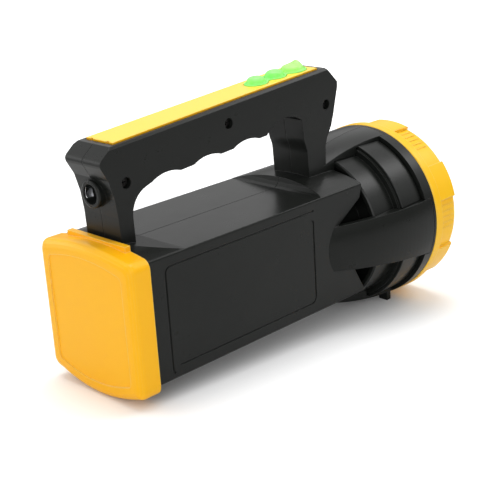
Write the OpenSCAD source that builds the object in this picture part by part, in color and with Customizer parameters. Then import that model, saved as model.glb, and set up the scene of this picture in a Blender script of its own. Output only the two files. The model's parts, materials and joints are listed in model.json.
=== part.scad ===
// Hand crank flashlight: a box lamp with a carrying handle, a round lamp head and a folding crank.
// X runs from the rear cap to the lamp, Y to the left, Z up. The lamp's axis is level.

/* [Box] */
// Width of the box
box_w = 60; // [57:0.5:62]
// Height of the box's flat sides
box_h = 56; // [54:0.5:60]
// Length of the box from the cap to its front edge
box_l = 136; // [134:0.5:144]
// Rise of the curved top and bottom
box_rise = 4.7; // [3.5:0.1:6]
// Height of the box's middle above the lamp's axis
box_lift = 1; // [0:0.1:2]
// Wall thickness of the half shells
wall = 2.2; // [1.8:0.1:2.6]
// Cut along the long edges of the box
edge_cut = 1.2; // [0.6:0.1:1.8]
// Length of the facet that falls from the cap to the deck
facet_l = 21; // [15:1:26]
// Length of the raised part of the top behind the lamp
plateau_l = 26; // [22:0.5:30]
// Length of the ramp from the deck to the raised part
ramp_l = 3.5; // [2:0.5:6]
// Depth of the notch in the front edge of each side
notch_l = 20.5; // [16:0.5:22]
// Width of the line sunk into the right side
line_w = 0.9; // [0.5:0.1:1.4]
// Depth of that line
line_depth = 0.5; // [0.3:0.1:0.8]
// Gap at the seam between the two half shells
seam = 0.2; // [0.1:0.05:0.4]

/* [Rear cap] */
// Length of the cap
cap_l = 11; // [9.5:0.5:14]
// Width of the cap
cap_w = 62.6; // [62.4:0.2:66]
// Height of the cap's sides above the box's sides
cap_over = 0.7; // [0.4:0.1:2]
// Reach of the cap's sides below the box's sides
cap_under = 2.3; // [1.5:0.1:4]
// Rise of the cap's curved top
cap_top_rise = 3.4; // [2.8:0.1:5]
// Rise of the cap's curved bottom
cap_bottom_rise = 6.4; // [5.8:0.1:7]
// Bevel round the cap's rear
cap_bevel = 1.8; // [1:0.1:2.4]
// Inset of the cap's recessed panel from its sides
panel_inset = 6.3; // [5:0.1:8]
// Depth of the recessed panel
panel_depth = 0.6; // [0.3:0.1:1]
// Length of the spigot inside the cap
spigot_l = 3.2; // [2.4:0.1:4]
// Width of the thumb bar on top of the cap
bar_w = 39.2; // [30:0.2:44]

/* [Handle] */
// Width of the handle
handle_w = 23.4; // [22.4:0.2:28]
// Length of the handle
handle_l = 147.8; // [146:0.2:152]
// Height of the handle above the deck
handle_h = 55.1; // [53:0.1:62]
// Reach of the handle behind the box
handle_back = 6; // [5:0.5:7]
// Depth of the grip from its top to its underside
grip_t = 20.8; // [20:0.1:22]
// Distance between the finger grooves
groove_pitch = 24.4; // [23:0.1:26]
// Radius of the finger grooves
groove_r = 20; // [18:0.5:24]
// Depth of the finger grooves
groove_depth = 1.9; // [1:0.1:2.4]
// Radius of the index finger groove
index_r = 18; // [16:0.5:20]
// Depth of the index finger groove
index_depth = 4.8; // [4:0.1:5.4]
// Radius of the screw holes in the handle
screw_hole_r = 2.45; // [2.3:0.05:2.8]
// Radius of the handle screws' shanks
shank_r = 1.05; // [0.9:0.05:1.2]

/* [Keypad] */
// Width of the cover strip
strip_w = 17.6; // [17.2:0.2:18.4]
// Length of the cover strip
strip_l = 126.6; // [124:0.2:129]
// Thickness of the cover strip
strip_t = 2.3; // [2:0.1:2.8]
// Height of the strip above the handle
strip_proud = 0.7; // [0.4:0.1:1.2]
// Radius of the rear and middle buttons
button_r = 4.4; // [4:0.1:4.6]
// Radius of the front button
front_button_r = 5.5; // [5:0.1:5.6]
// Distance between the buttons
button_pitch = 12.5; // [12.2:0.1:13.5]
// Height of the buttons above the strip
button_h = 2.5; // [1.8:0.1:3.2]
// Travel of the buttons
button_travel = 0.8; // [0.4:0.1:0.9]

/* [Lamp head] */
// Outer diameter of the bezel
lip_d = 91.4; // [91.2:0.2:94]
// Height of the bezel's grip pads
pad_rise = 1.3; // [0.8:0.1:1.8]
// Depth of the bezel's valleys below its lip
valley_depth = 2.6; // [2:0.1:2.7]
// Number of grip pads
pad_n = 6; // [5:1:8]
// Angle that each pad spans
pad_angle = 24.6; // [18:0.2:28]
// Length of the bezel
bezel_l = 20.6; // [20:0.1:23]
// Length of the bezel's rear lip
lip_l = 5.9; // [4:0.1:7]
// Width of the bezel from its lip to the lamp's opening
mouth_rim = 8.2; // [7.7:0.1:9.7]
// Step from the bezel's lip down to the front band
front_band_step = 2.45; // [1.9:0.05:2.6]
// Length of the front band
front_band_l = 15; // [14:0.1:17]
// Step from the bezel's lip down to the rear band
rear_band_step = 7; // [6.5:0.1:7.5]
// Length of the rear band
rear_band_l = 16.6; // [15:0.1:18]
// Step from the bezel's lip down to the rim
rim_step = 0.4; // [0.2:0.05:0.7]
// Length of the rim
rim_l = 6.4; // [5:0.1:8]
// Width of the groove behind the rim
rim_gap = 1; // [0.6:0.1:1.6]
// Radius of the neck
neck_r = 24; // [23:0.1:24.2]
// Length of the spigot that the bezel turns on
turn_l = 11.6; // [11:0.1:12.4]
// Radius of the lengthwise curve of the arms
arm_curve_r = 135; // [120:1:160]
// Half width of the top arm at the lamp
top_arm_half = 14.4; // [12.5:0.1:17]
// Half width of the bottom arm at the lamp
bottom_arm_half = 21.5; // [20:0.1:24]
// Height of the two feet
foot_h = 5.5; // [5:0.1:6]

/* [Power] */
// Radius of a battery cell
cell_r = 9.1; // [8.6:0.05:9.2]
// Length of a battery cell
cell_l = 65; // [60:0.5:66]
// Radius of the charging socket's well
socket_r = 4.4; // [4:0.1:4.5]
// Depth of the charging socket's well
socket_depth = 5.6; // [5:0.1:5.8]

/* [Crank] */
// Radius of the crank's drum
drum_r = 24; // [23.6:0.1:24.6]
// Depth of the drum
drum_t = 18; // [17.8:0.1:18.4]
// Distance from the crank's axis to the fold hinge
fold_r = 18; // [17.6:0.1:18.2]
// Distance from the fold hinge to the knob
arm_l = 32; // [31:0.1:32.2]
// Width of the crank's arm
arm_w = 12; // [11:0.1:12.4]
// Thickness of the crank's arm
arm_t = 5; // [4.4:0.1:5.2]
// Radius of the knob
knob_r = 6.5; // [5.8:0.1:6.6]
// Length of the knob
knob_l = 10; // [9:0.1:10.2]

/* [Gears] */
// Module of the first pair of gears
drive_module = 1; // [0.96:0.01:1.01]
// Module of the second and third pairs
fast_module = 0.8; // [0.76:0.01:0.81]
// Teeth on each pinion
pinion_n = 10; // [10:1:10]
// Teeth on the drive gear
drive_n = 40; // [38:1:40]
// Teeth on the first wheel
wheel_one_n = 36; // [34:1:36]
// Teeth on the second wheel
wheel_two_n = 30; // [28:1:30]
// Radius of the gear axles
axle_r = 1.5; // [1.3:0.05:1.6]
// Radius of the generator
generator_r = 12; // [11:0.1:12.2]

/* [Fits] */
// Radial clearance of the shafts and pins
run_gap = 0.06; // [0.03:0.01:0.09]
// Clearance between pieces that sit in each other
fit_gap = 0.3; // [0.2:0.05:0.35]
// Clearance of pressed pieces
press_gap = 0.02; // [0.01:0.01:0.03]
// Clearance between neighbouring teeth
tooth_gap = 0.13; // [0.1:0.01:0.2]

/* [Hidden] */
$fn = 72;
over = 1;
arch_n = 16;
corner_n = 4;
cap_corner_n = 8;
bend_n = 4;
curve_n = 22;

// Places along X
head_gap = 1.4;
head_l = head_gap + rear_band_l + front_band_l + rim_gap + rim_l + bezel_l;
spigot_side = 1.2;
spigot_drop = 1.8;
cap_back = 2.2;
ring_in = 1.7;
cap_corner = 4.4;
panel_low = 1.6;
panel_high = 0.6;
bar_l = 2.9;
bar_sink = 1.6;
bar_h = 2.8;
x_rear = -(cap_l + box_l + head_l) / 2;
x_box = x_rear + cap_l;
x_front = x_box + box_l;
x_rear_band = x_front + head_gap;
x_front_band = x_rear_band + rear_band_l;
x_groove = x_front_band + front_band_l;
x_rim = x_groove + rim_gap;
x_bezel = x_rim + rim_l;
x_mouth = x_bezel + bezel_l;
bulkhead_back = 25;
x_bulkhead = x_front - bulkhead_back;

// Places along Z
axis_z = lip_d / 2;
mid_z = axis_z + box_lift;
floor_z = mid_z - box_h / 2;
deck_z = mid_z + box_h / 2;
top_z = deck_z + box_rise;
inner_half = box_w / 2 - wall;

// Handle: points of its side outline as shares of its length and height
outline_shares = [
    [0, 0.719], [0.05, 0.824], [0.949, 0.996], [1, 0.855], [1, 0.813], [0.976, 0.577], [0.963, 0.4755],
    [0.94, 0.376], [0.932, 0.312], [0.929, 0.098], [0.929, -0.06], [0.0534, -0.06], [0.0534, 0.114],
    [0.0514, 0.27], [0.0447, 0.4247], [0.0298, 0.5735]
];
gap_shares = [
    [0.105, -0.09], [0.105, 0.03], [0.103, 0.281], [0.117, 0.374], [0.143, 0.437], [0.186, 0.475],
    [0.822, 0.592], [0.8295, 0.4065], [0.842, 0.323], [0.847, 0.034], [0.847, -0.09]
];
outline_bends = [2.4, 0, 0, 0, 0, 0, 0, 0, 0, 0, 0, 0, 0, 0, 0, 0];
gap_bends = [0, 2, 2.5, 2.5, 2.5, 2.5, 0, 1.5, 2, 2, 0];
handle_x = x_box - handle_back;
function toward(points, i, step) =
    let (n = len(points), to = points[(i + n + step) % n] - points[i])
    to / norm(to);
function bent(points, bends) = [
    for (i = [0 : len(points) - 1])
        for (t = bends[i] > 0 ? [0 : 1 / bend_n : 1] : [0])
            points[i] + bends[i] * (pow(1 - t, 2) * toward(points, i, -1) + t * t * toward(points, i, 1))
];
function on_outline(share) = [handle_x + share[0] * handle_l, deck_z + share[1] * handle_h];
grip_rear = on_outline(outline_shares[1]);
grip_front = on_outline(outline_shares[2]);
tilt = atan2(grip_front[1] - grip_rear[1], grip_front[0] - grip_rear[0]);
post_rear_share = [0.105, 0.03];
post_front_shares = [[0.847, 0.034], [0.929, 0.098]];
screw_shares = [[0.0907, 0.5245], [0.4993, 0.7532], [0.9411, 0.677]];
groove_first = 26.6;
index_place = 101.2;
boss_r = 3.6;
head_depth = 2.2;
head_t = 1.8;
grip_back = 12;
grip_floor = 0.4;
index_back = 16;
index_floor = 0.3;
roof_trim = 0.2;
post_cavity = 3.2;

// Keypad: places along the tilted top of the handle, from its rear corner
strip_start = 3.2;
strip_end = strip_start + strip_l;
key_end = 8;
front_button_s = strip_end - key_end;
button_s = [front_button_s - 2 * button_pitch, front_button_s - button_pitch, front_button_s];
strip_sink = strip_t - strip_proud;
strip_gap = 0.45;
strip_dish = 0.3;
strip_rib = 1.2;
notch_half = 1;
board_side = 1;
web_half = 7.4;
web_rise = 0.35;
web_slot_half = 6.3;
web_t = 1.2;
web_reach = 6.4;
flange_t = 1.1;
flange_rim = 0.7;
key_gap = 0.1;
skirt_r = 2.6;
plunger_r = 1.3;
plunger_h = 0.7;
skirt_l = 2.4;
switch_w = 6;
switch_h = 3.5;
board_t = 1.6;
ledge_w = 1.6;
flange_top = -strip_sink - key_gap;
skirt_end = flange_top - flange_t - skirt_l;
switch_top = skirt_end - button_travel - key_gap;
board_top = switch_top - switch_h;
switch_board_half = handle_w / 2 - wall - fit_gap;

// Lamp head
head_wall = 2.4;
valley_d = lip_d - 2 * valley_depth;
mouth_d = lip_d - 2 * mouth_rim;
front_band_r = lip_d / 2 - front_band_step;
rear_band_r = lip_d / 2 - rear_band_step;
rim_r = lip_d / 2 - rim_step;
band_step = 1.2;
seat_depth = 1.25;
seat_wall = 2.1;
bezel_wall = 2.1;
bezel_gap = 0.25;
lip_edge = 0.4;
mouth_edge = 2.7;
pad_turn = -55.3;
seat_r = front_band_r - seat_depth;
turn_r = valley_d / 2 - bezel_wall;
turn_bore = turn_r - head_wall;
turn_end = x_bezel + turn_l;
flange_of_neck = 2.5;
neck_t = 3;
lens_inset = 0.6;
lens_r = turn_r - lens_inset;
lens_t = 3;
reflector_lip = 1.3;
seal_t = 0.9;
seal_inset = 0.5;
bezel_lip_x = turn_end + reflector_lip + lens_t + seal_t + key_gap;
arm_t_min = 3;
arm_root = 8;
top_root = 6.2;
bottom_root = 6.7;
peak_back = 3.4;
arm_short = 2;
wing_back = 25;
arm_peak = x_bezel - peak_back;
arm_end = x_bezel - arm_short;
arm_start = x_front - wing_back;
foot_l = 3;
foot_w = 5.4;
foot_back = 3.5;
foot_lift = 0.2;
plate_place = 5.6;
sink_place = 8.2;
sink_front = x_rear_band + sink_place;
fin_l = 12;
fin_base = 5;
fin_t = 1.6;
led_board_rim = 3.5;
vertex_gap = 1.8;
led_t = 1.2;
reflector_back_r = 8;
reflector_wall = 1.6;

// Power
cell_side = 0.7;
cell_back = 5;
cell_drop = 11;
cell_rise = 10;
cell_nub = 1;
holder_wall = 1;
cell_y = -(inner_half - cell_r - cell_side);
cell_x = x_box + cell_back;
cell_z = [mid_z - cell_drop, mid_z + cell_rise];
contact_t = 0.5;
holder_end = 1.6;
board_y = -11.4;
board_gap = 4.9;
board_front = 6;
board_x = [cell_x + cell_l + contact_t + holder_end + board_gap, x_bulkhead - board_front];
board_low = 7;
board_high = 9;
board_inset = 4;
board_z = [floor_z + board_low, deck_z - board_high];
tall_part = 9;
part_size = 4;
flat_part = 1.5;

// Charging socket
socket_share = [0.0203, 0.4465];
socket_x = on_outline(socket_share)[0];
socket_z = on_outline(socket_share)[1];
socket_wall = 0.6;
socket_back = 1.2;
socket_ring = 1.2;
socket_edge = 0.7;

// Cables
cable_half = 1;
cable_y = -22;
cable_drop = 1.9;
cable_z = deck_z - wall - cable_drop;
wire_gap = 1.2;
wire_in = 3;
wire_side = 1.5;
wire_drop = 7;
wire_start = 20;
wire_end = 5;
post_wire = 1.6;

// Crank and gears
crank_place = 47;
drum_lift = 1;
crank_x = x_box + crank_place;
crank_z = mid_z;
drum_face = box_w / 2 + drum_lift;
drum_back = drum_face - drum_t;
cup_gap = 0.3;
cup_wall = 1.7;
cup_floor = 2;
cup_y = drum_back - cup_gap - cup_floor;
shaft_r = 4;
shaft_sink = 5;
bush_wall = 2.5;
pin_r = 1.25;
pin_lift = 0.5;
pin_y = drum_face + pin_lift;
arm_drop = 0.2;
knuckle_r = 2.6;
lug_w = 2.5;
slot_gap = 0.3;
slot_depth = 0.7;
slot_floor = pin_y - arm_t - slot_depth;
knob_gap = 0.3;
knob_axle_r = 1.5;
knob_edge = 1;
pin_head = 1.3;
pin_inset = 0.2;
arm_skin = 0.6;
knob_end = pin_y - arm_t - arm_drop - knob_gap - knob_l;
pocket_gap = 0.5;
gear_face = 4.6;
cup_side = 1;
wheel_side = 1.4;
step_side = 1.6;
drive_y = cup_y - cup_side - gear_face;
thin_face = 3.2;
two_face = 2.8;
wheel_one_y = drive_y - wheel_side - thin_face;
wheel_two_y = wheel_one_y - step_side - two_face;
plate_t = 1.8;
plate_y = wheel_two_y - wheel_side - plate_t;
axle_end = 0.7;
one_angle = -30;
two_angle = 55;
rotor_angle = -35;
one_d = drive_module * (drive_n + pinion_n) / 2;
two_d = fast_module * (wheel_one_n + pinion_n) / 2;
rotor_d = fast_module * (wheel_two_n + pinion_n) / 2;
one_at = [crank_x + one_d * cos(one_angle), crank_z + one_d * sin(one_angle)];
two_at = [one_at[0] + two_d * cos(two_angle), one_at[1] + two_d * sin(two_angle)];
rotor_at = [two_at[0] + rotor_d * cos(rotor_angle), two_at[1] + rotor_d * sin(rotor_angle)];
can_side = 0.8;
generator_y = drive_y - can_side;
generator_l = 15.8;
can_wall = 1;
can_hold = 5;
can_rim = 1.6;
core_inset = 3;
coil_inset = 3.6;
rotor_inset = 4;
post_r = 3;
post_taper = 0.5;
post_side = 1;
post_in = 4;
post_top = 3.5;
post_out = 8.5;
post_low = 6;
screw_l = 7;
screw_head = 1.2;
plate_margin = 5;
post_at = [
    [crank_x - drum_r - cup_gap - cup_wall - post_r - post_side, crank_z],
    [two_at[0] - post_in, deck_z - wall - post_r - post_top],
    [rotor_at[0] + post_out, floor_z + post_low]
];
pressure = 25;

// Shapes used more than once

module along_x(x0, x1) {
    translate([x0, 0, 0])
        rotate([90, 0, 90])
            linear_extrude(x1 - x0)
                children();
}

module along_y(y0, y1) {
    translate([0, y1, 0])
        rotate([90, 0, 0])
            linear_extrude(y1 - y0)
                children();
}

module rod_x(x0, x1, r, y = 0, z = axis_z) {
    translate([x0, y, z])
        rotate([0, 90, 0])
            cylinder(h = x1 - x0, r = r);
}

module rod_y(y0, y1, r, at) {
    translate([at[0], y0, at[1]])
        rotate([-90, 0, 0])
            cylinder(h = y1 - y0, r = r);
}

// A solid turned about the lamp's axis from points given as [radius, x]
module turned(points) {
    translate([0, 0, axis_z])
        rotate([0, 90, 0])
            rotate_extrude($fn = 96)
                polygon(points);
}

module ring_x(x0, x1, outer, inner) {
    turned([[inner, x0], [outer, x0], [outer, x1], [inner, x1]]);
}

module on_handle() {
    translate([grip_rear[0], 0, grip_rear[1]])
        rotate([0, -tilt, 0])
            children();
}

module round_slot(s0, s1, half) {
    translate([s0 + half, 0])
        circle(r = half);
    translate([s1 - half, 0])
        circle(r = half);
    translate([s0 + half, -half])
        square([s1 - s0 - 2 * half, 2 * half]);
}

// Cross-section with a curved top and bottom and rounded corners
function bow(rise, place) = rise * (1 - place * place);
function bow_line(w, z, rise, cut, order = [0 : arch_n]) = [
    for (i = order) let (s = (2 * i / arch_n - 1) * (1 - 2 * cut / w)) [s * w / 2, z + bow(rise, s)]
];
function corner(y, z, r, from, n = corner_n) = [
    for (i = [1 : n - 1]) let (a = from + 90 * i / n) [y + r * cos(a), z + r * sin(a)]
];
function section(w, z0, z1, top, bottom, cut, n = corner_n) =
    let (
        edge = 1 - 2 * cut / w,
        low = z0 + cut - bow(bottom, edge),
        high = z1 - cut + bow(top, edge)
    )
    concat(
        bow_line(w, z0, -bottom, cut),
        corner(w / 2 - cut, low, cut, -90, n),
        [[w / 2, low], [w / 2, high]],
        corner(w / 2 - cut, high, cut, 0, n),
        bow_line(w, z1, top, cut, [arch_n : -1 : 0]),
        corner(cut - w / 2, high, cut, 90, n),
        [[-w / 2, high], [-w / 2, low]],
        corner(cut - w / 2, low, cut, 180, n)
    );

// The same with a flat top
function tub(w, z0, z1, bottom, cut) =
    let (low = z0 + cut - bow(bottom, 1 - 2 * cut / w))
    concat(
        bow_line(w, z0, -bottom, cut),
        corner(w / 2 - cut, low, cut, -90),
        [[w / 2, low], [w / 2, z1], [-w / 2, z1], [-w / 2, low]],
        corner(cut - w / 2, low, cut, 180)
    );

// Radius of the arms' outer surface at a place along X
function arm_r(x) = rim_r - arm_curve_r + sqrt(pow(arm_curve_r, 2) - pow(x - arm_peak, 2));

// Teeth of an involute gear, thinned by the tooth gap
function inv_angle(base, r) = r <= base ? 0 : tan(acos(base / r)) * 180 / PI - acos(base / r);
function tooth(m, n, share, side) =
    let (
        pitch = m * n / 2,
        base = pitch * cos(pressure),
        root = pitch - 1.05 * m,
        tip = pitch + 0.8 * m,
        r = root + share * (tip - root),
        half = 90 / n - tooth_gap / 2 / pitch * 180 / PI + inv_angle(base, pitch) - inv_angle(base, r)
    )
    [r, side * half];
flank_shares = [0, 0.3, 0.6, 0.85, 1];
function gear_points(m, n, turn) = [
    for (k = [0 : n - 1])
        for (i = [0 : 9])
            let (
                p = i < 5 ? tooth(m, n, flank_shares[i], -1) : tooth(m, n, flank_shares[9 - i], 1),
                a = turn + 360 * k / n + p[1]
            )
            [p[0] * cos(a), p[0] * sin(a)]
];

module gear(at, m, n, turn, y0, y1) {
    along_y(y0, y1)
        translate(at)
            polygon(gear_points(m, n, turn));
}

// A flat cable that runs square from point to point
module cable(points, half) {
    for (i = [0 : len(points) - 2]) {
        low = [for (k = [0 : 2]) min(points[i][k], points[i + 1][k]) - half];
        high = [for (k = [0 : 2]) max(points[i][k], points[i + 1][k]) + half];
        translate(low)
            cube(high - low);
    }
}

// A solid that passes through outlines of as many points each, from the rear to the front
module loft_x(places, outlines) {
    n = len(outlines[0]);
    last = len(places) - 1;
    polyhedron(
        points = [for (k = [0 : last]) for (p = outlines[k]) [places[k], p[0], p[1]]],
        faces = concat(
            [[for (i = [0 : n - 1]) i]],
            [[for (i = [n - 1 : -1 : 0]) last * n + i]],
            [for (k = [0 : last - 1]) for (i = [0 : n - 1]) [k * n + i, (k + 1) * n + i,
                (k + 1) * n + (i + 1) % n]],
            [for (k = [0 : last - 1]) for (i = [0 : n - 1]) [k * n + i, (k + 1) * n + (i + 1) % n,
                k * n + (i + 1) % n]]
        )
    );
}

// Half shells

ramp_shares = [[0, 0], [0.45, 0.16], [0.8, 0.5], [1, 1]];
notch_shares = [[1, 0.968], [0.92, 0.875], [0.05, 0.68], [0, 0.5], [0.7, 0.23], [1, 0.03]];
line_shares = [0.061, 0.7426, 0.091, 0.9214];

module box_outside() {
    difference() {
        along_x(x_box, x_front)
            polygon(section(box_w, floor_z, deck_z, box_rise, box_rise, edge_cut));
        along_y(-box_w, box_w)
            polygon(concat(
                [[x_box - over, top_z + over], [x_box - over, top_z - 0.1 * box_rise]],
                [[x_box, top_z - 0.1 * box_rise], [x_box + facet_l, deck_z]],
                [for (s = ramp_shares)
                    [x_front - plateau_l - ramp_l + s[0] * ramp_l, deck_z + s[1] * box_rise]],
                [[x_front - plateau_l, top_z + over]]
            ));
    }
}

module side_notches() {
    for (side = [-1, 1])
        along_y(side * box_w / 2 - 2 * wall, side * box_w / 2 + 2 * wall)
            polygon(concat(
                [[x_front + over, floor_z + notch_shares[0][1] * box_h]],
                [for (s = notch_shares) [x_front - notch_l + s[0] * notch_l, floor_z + s[1] * box_h]],
                [[x_front + over, floor_z + notch_shares[5][1] * box_h]]
            ));
}

module sunk_line() {
    x0 = x_box + line_shares[0] * box_l;
    x1 = x_box + line_shares[1] * box_l;
    z0 = floor_z + line_shares[2] * box_h;
    z1 = floor_z + line_shares[3] * box_h;
    corner = 4 * line_w;
    hook = 2 * line_w;
    gap = 5 * line_w;
    tail = 3 * line_w;
    along_y(-box_w / 2 - over, -box_w / 2 + line_depth) {
        translate([x0, z0 - tail + hook])
            square([line_w, z1 - z0 + tail - hook - corner]);
        translate([x0 + corner, z1 - line_w])
            square([x1 - x0 - corner, line_w]);
        translate([x1 - line_w, z0 + corner])
            square([line_w, z1 - z0 - gap - hook - corner]);
        translate([x0 + gap, z0])
            square([x1 - x0 - gap - corner, line_w]);
        line_corner([x0 + corner, z1 - corner], [x0, z1 - corner], corner);
        line_corner([x1 - corner, z0 + corner], [x1 - corner, z0], corner);
        line_corner([x0 + hook, z0 - tail + hook], [x0, z0 - tail], hook);
        line_corner([x1 - hook, z1 - gap - hook], [x1 - hook, z1 - gap - hook], hook);
    }
}

// A quarter turn of the sunk line
module line_corner(centre, low, size) {
    intersection() {
        difference() {
            translate(centre)
                circle(r = size);
            translate(centre)
                circle(r = size - line_w);
        }
        translate(low)
            square([size, size]);
    }
}

module hand_gap() {
    polygon(bent([for (s = gap_shares) on_outline(s)], gap_bends));
    translate(grip_rear)
        rotate(tilt) {
            for (i = [0 : 2])
                translate([groove_first + i * groove_pitch, groove_depth - grip_t - groove_r])
                    circle(r = groove_r);
        }
    intersection() {
        translate(grip_rear)
            rotate(tilt)
                translate([index_place, index_depth - grip_t - index_r])
                    circle(r = index_r);
        translate([handle_x, deck_z])
            square([on_outline(gap_shares[6])[0] - handle_x, handle_h]);
    }
}

module handle_outside() {
    difference() {
        union() {
            along_y(-handle_w / 2, handle_w / 2)
                polygon(bent([for (s = outline_shares) on_outline(s)], outline_bends));
            socket_boss();
        }
        along_y(-handle_w / 2 - over, handle_w / 2 + over)
            hand_gap_above_deck();
        strip_bevels();
    }
}

// Ring round the charging socket, with a rounded lip
module socket_boss() {
    r = socket_r + socket_wall + socket_ring;
    l = socket_depth + socket_back + wall;
    translate([socket_x, 0, socket_z])
        rotate([0, 90, 0])
            rotate_extrude()
                polygon([
                    [0, 0], [r - socket_edge, 0], [r - 0.3 * socket_edge, 0.3 * socket_edge], [r,
                        socket_edge],
                    [r, l], [0, l]
                ]);
}

module hand_gap_above_deck() {
    intersection() {
        hand_gap();
        translate([handle_x, deck_z - handle_h / 8])
            square([handle_l, handle_h]);
    }
}

// The bevels along the top edges of the handle
module strip_bevels() {
    bevel = 0.8;
    on_handle()
        for (side = [-1, 1])
            translate([-handle_l / 4, side * handle_w / 2, 0])
                rotate([45, 0, 0])
                    translate([0, -bevel, -bevel])
                        cube([1.5 * handle_l, 2 * bevel, 2 * bevel]);
}

module arm_profile(x0, from_r) {
    x1 = arm_end;
    x_step = x_front_band - band_step - fit_gap;
    turned(concat(
        [for (i = [0 : curve_n]) let (x = x0 + (x1 - x0) * i / curve_n) [arm_r(x), x]],
        [[seat_r + fit_gap, x1], [seat_r + fit_gap, x_step]],
        [[rear_band_r + fit_gap, x_step], [rear_band_r + fit_gap, x_rear_band - fit_gap]],
        from_r > 0 ? [[from_r, x_rear_band - fit_gap], [from_r, x0]] :
            [for (i = [curve_n : -1 : 0])
                let (x = x0 + (x_rear_band - fit_gap - x0) * i / curve_n) [arm_r(x) - arm_t_min, x]]
    ));
}

// Outlines that trim the arms, seen from above and from the side
module top_trim(extra) {
    linear_extrude(axis_z * 3)
        polygon([
            [x_front - arm_root, -handle_w / 2 - extra], [arm_end + extra, -top_arm_half - extra],
            [arm_end + extra, top_arm_half + extra], [x_front - arm_root, handle_w / 2 + extra]
        ]);
}

module bottom_trim(extra) {
    linear_extrude(axis_z)
        polygon([
            [x_front - arm_root, -bottom_arm_half * 0.66 - extra], [arm_end + extra,
                -bottom_arm_half - extra],
            [arm_end + extra, bottom_arm_half + extra], [x_front - arm_root, bottom_arm_half * 0.66 + extra]
        ]);
}

wing_shares = [[0, 0.695], [1, 0.728], [1, 0.207], [0, 0.304]];
module wing_trim(side, extra) {
    along_y(side > 0 ? inner_half : -lip_d, side > 0 ? lip_d : -inner_half)
        polygon([
            [arm_start - over, floor_z + wing_shares[0][1] * box_h + extra],
            [arm_end + extra, floor_z + wing_shares[1][1] * box_h + extra],
            [arm_end + extra, floor_z + wing_shares[2][1] * box_h - extra],
            [arm_start - over, floor_z + wing_shares[3][1] * box_h - extra]
        ]);
}

module arms() {
    intersection() {
        arm_profile(x_front - arm_root, rear_band_r - top_root);
        translate([0, 0, axis_z])
            top_trim(0);
    }
    intersection() {
        arm_profile(x_front - arm_root, rear_band_r - bottom_root);
        bottom_trim(0);
    }
    for (side = [-1, 1])
        intersection() {
            arm_profile(arm_start, 0);
            wing_trim(side, 0);
        }
}

module feet() {
    for (side = [-1, 1])
        difference() {
            translate([arm_end - foot_l - foot_back,
                side * (bottom_arm_half - 0.93 * foot_w) - foot_w / 2, foot_lift])
                cube([foot_l, foot_w, axis_z - rim_r + foot_h]);
            rod_x(arm_end - 2 * foot_l - foot_back, arm_end + over, seat_r + fit_gap);
        }
}

module cavities() {
    // Main chamber and the space round the neck
    along_x(x_box + over, x_bulkhead)
        polygon(tub(2 * inner_half, floor_z + wall, deck_z - wall, box_rise, edge_cut));
    along_x(x_bulkhead + wall, x_front + over)
        polygon(tub(2 * inner_half, floor_z + wall, deck_z - wall, box_rise, edge_cut));
    rod_x(x_bulkhead - over, x_bulkhead + wall + over, neck_r + fit_gap / 2);
    translate([x_bulkhead - over, cable_y - cable_half - fit_gap, cable_z - cable_half - fit_gap])
        cube([wall + 2 * over, 2 * cable_half + 2 * fit_gap, 2 * cable_half + 2 * fit_gap]);
    // Inside of the grip, in front and behind the index groove
    inner = handle_w / 2 - wall;
    roof = strip_sink + wall - roof_trim;
    on_handle() {
        translate([groove_first - grip_back, -inner, groove_depth + wall + grip_floor - grip_t])
            cube([
                index_place - index_back - groove_first + grip_back, 2 * inner,
                grip_t - groove_depth - wall - grip_floor - roof
            ]);
        translate([index_place - index_back - over, -inner, index_depth + wall + index_floor - grip_t])
            cube([
                strip_end - index_place + index_back, 2 * inner,
                grip_t - index_depth - wall - index_floor - roof
            ]);
    }
    // Down the posts
    x0 = on_outline(post_front_shares[0])[0] + wall;
    x1 = on_outline(post_front_shares[1])[0] - wall;
    translate([x0, -inner, deck_z - 2 * wall])
        cube([x1 - x0, 2 * inner, handle_h * 0.78]);
    x2 = on_outline(post_rear_share)[0] - wall;
    translate([x2 - post_cavity, -inner, deck_z - 2 * wall])
        cube([post_cavity, 2 * inner, handle_h * 0.47]);
    // Top of the grip: recess for the strip and the opening for the keys
    on_handle() {
        translate([strip_start - strip_gap, -strip_w / 2 - strip_gap, -strip_sink])
            cube([strip_l + 2 * strip_gap, strip_w + 2 * strip_gap, strip_sink + over]);
        translate([0, 0, -strip_sink - 2 * wall])
            linear_extrude(2 * wall + over)
                round_slot(button_s[0] - web_reach, button_s[2] + web_reach, web_reach);
    }
}

module bosses() {
    inner = handle_w / 2;
    for (s = screw_shares)
        rod_y(-inner + 0.5 * wall, inner - 0.5 * wall, boss_r, on_outline(s));
    // Ledges that carry the switch board
    on_handle()
        for (side = [-1, 1])
            translate([button_s[0] - web_reach, side > 0 ? inner - wall - ledge_w : -inner,
                board_top - board_t - ledge_w])
                cube([2 * button_pitch + 2 * web_reach, wall + ledge_w, ledge_w]);
}

module shell_holes() {
    inner = handle_w / 2;
    for (s = screw_shares) {
        rod_y(-inner - over, -inner + head_depth + head_t, screw_hole_r, on_outline(s));
        rod_y(-inner, 0, shank_r + fit_gap, on_outline(s));
        rod_y(-over, inner - 2 * wall, shank_r + run_gap, on_outline(s));
    }
    rod_x(socket_x - over, socket_x + socket_depth + socket_back, socket_r + socket_wall + run_gap,
        0, socket_z);
}

module both_shells() {
    difference() {
        union() {
            difference() {
                union() {
                    difference() {
                        box_outside();
                        side_notches();
                    }
                    handle_outside();
                    // The plate that closes the rear and carries the cap
                    along_x(x_box - spigot_l, x_box + 2 * over)
                        polygon(tub(box_w - 2 * spigot_side, floor_z + spigot_drop,
                            deck_z - spigot_drop, box_rise, edge_cut));
                }
                cavities();
            }
            bosses();
            arms();
            feet();
        }
        shell_holes();
    }
}

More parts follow.
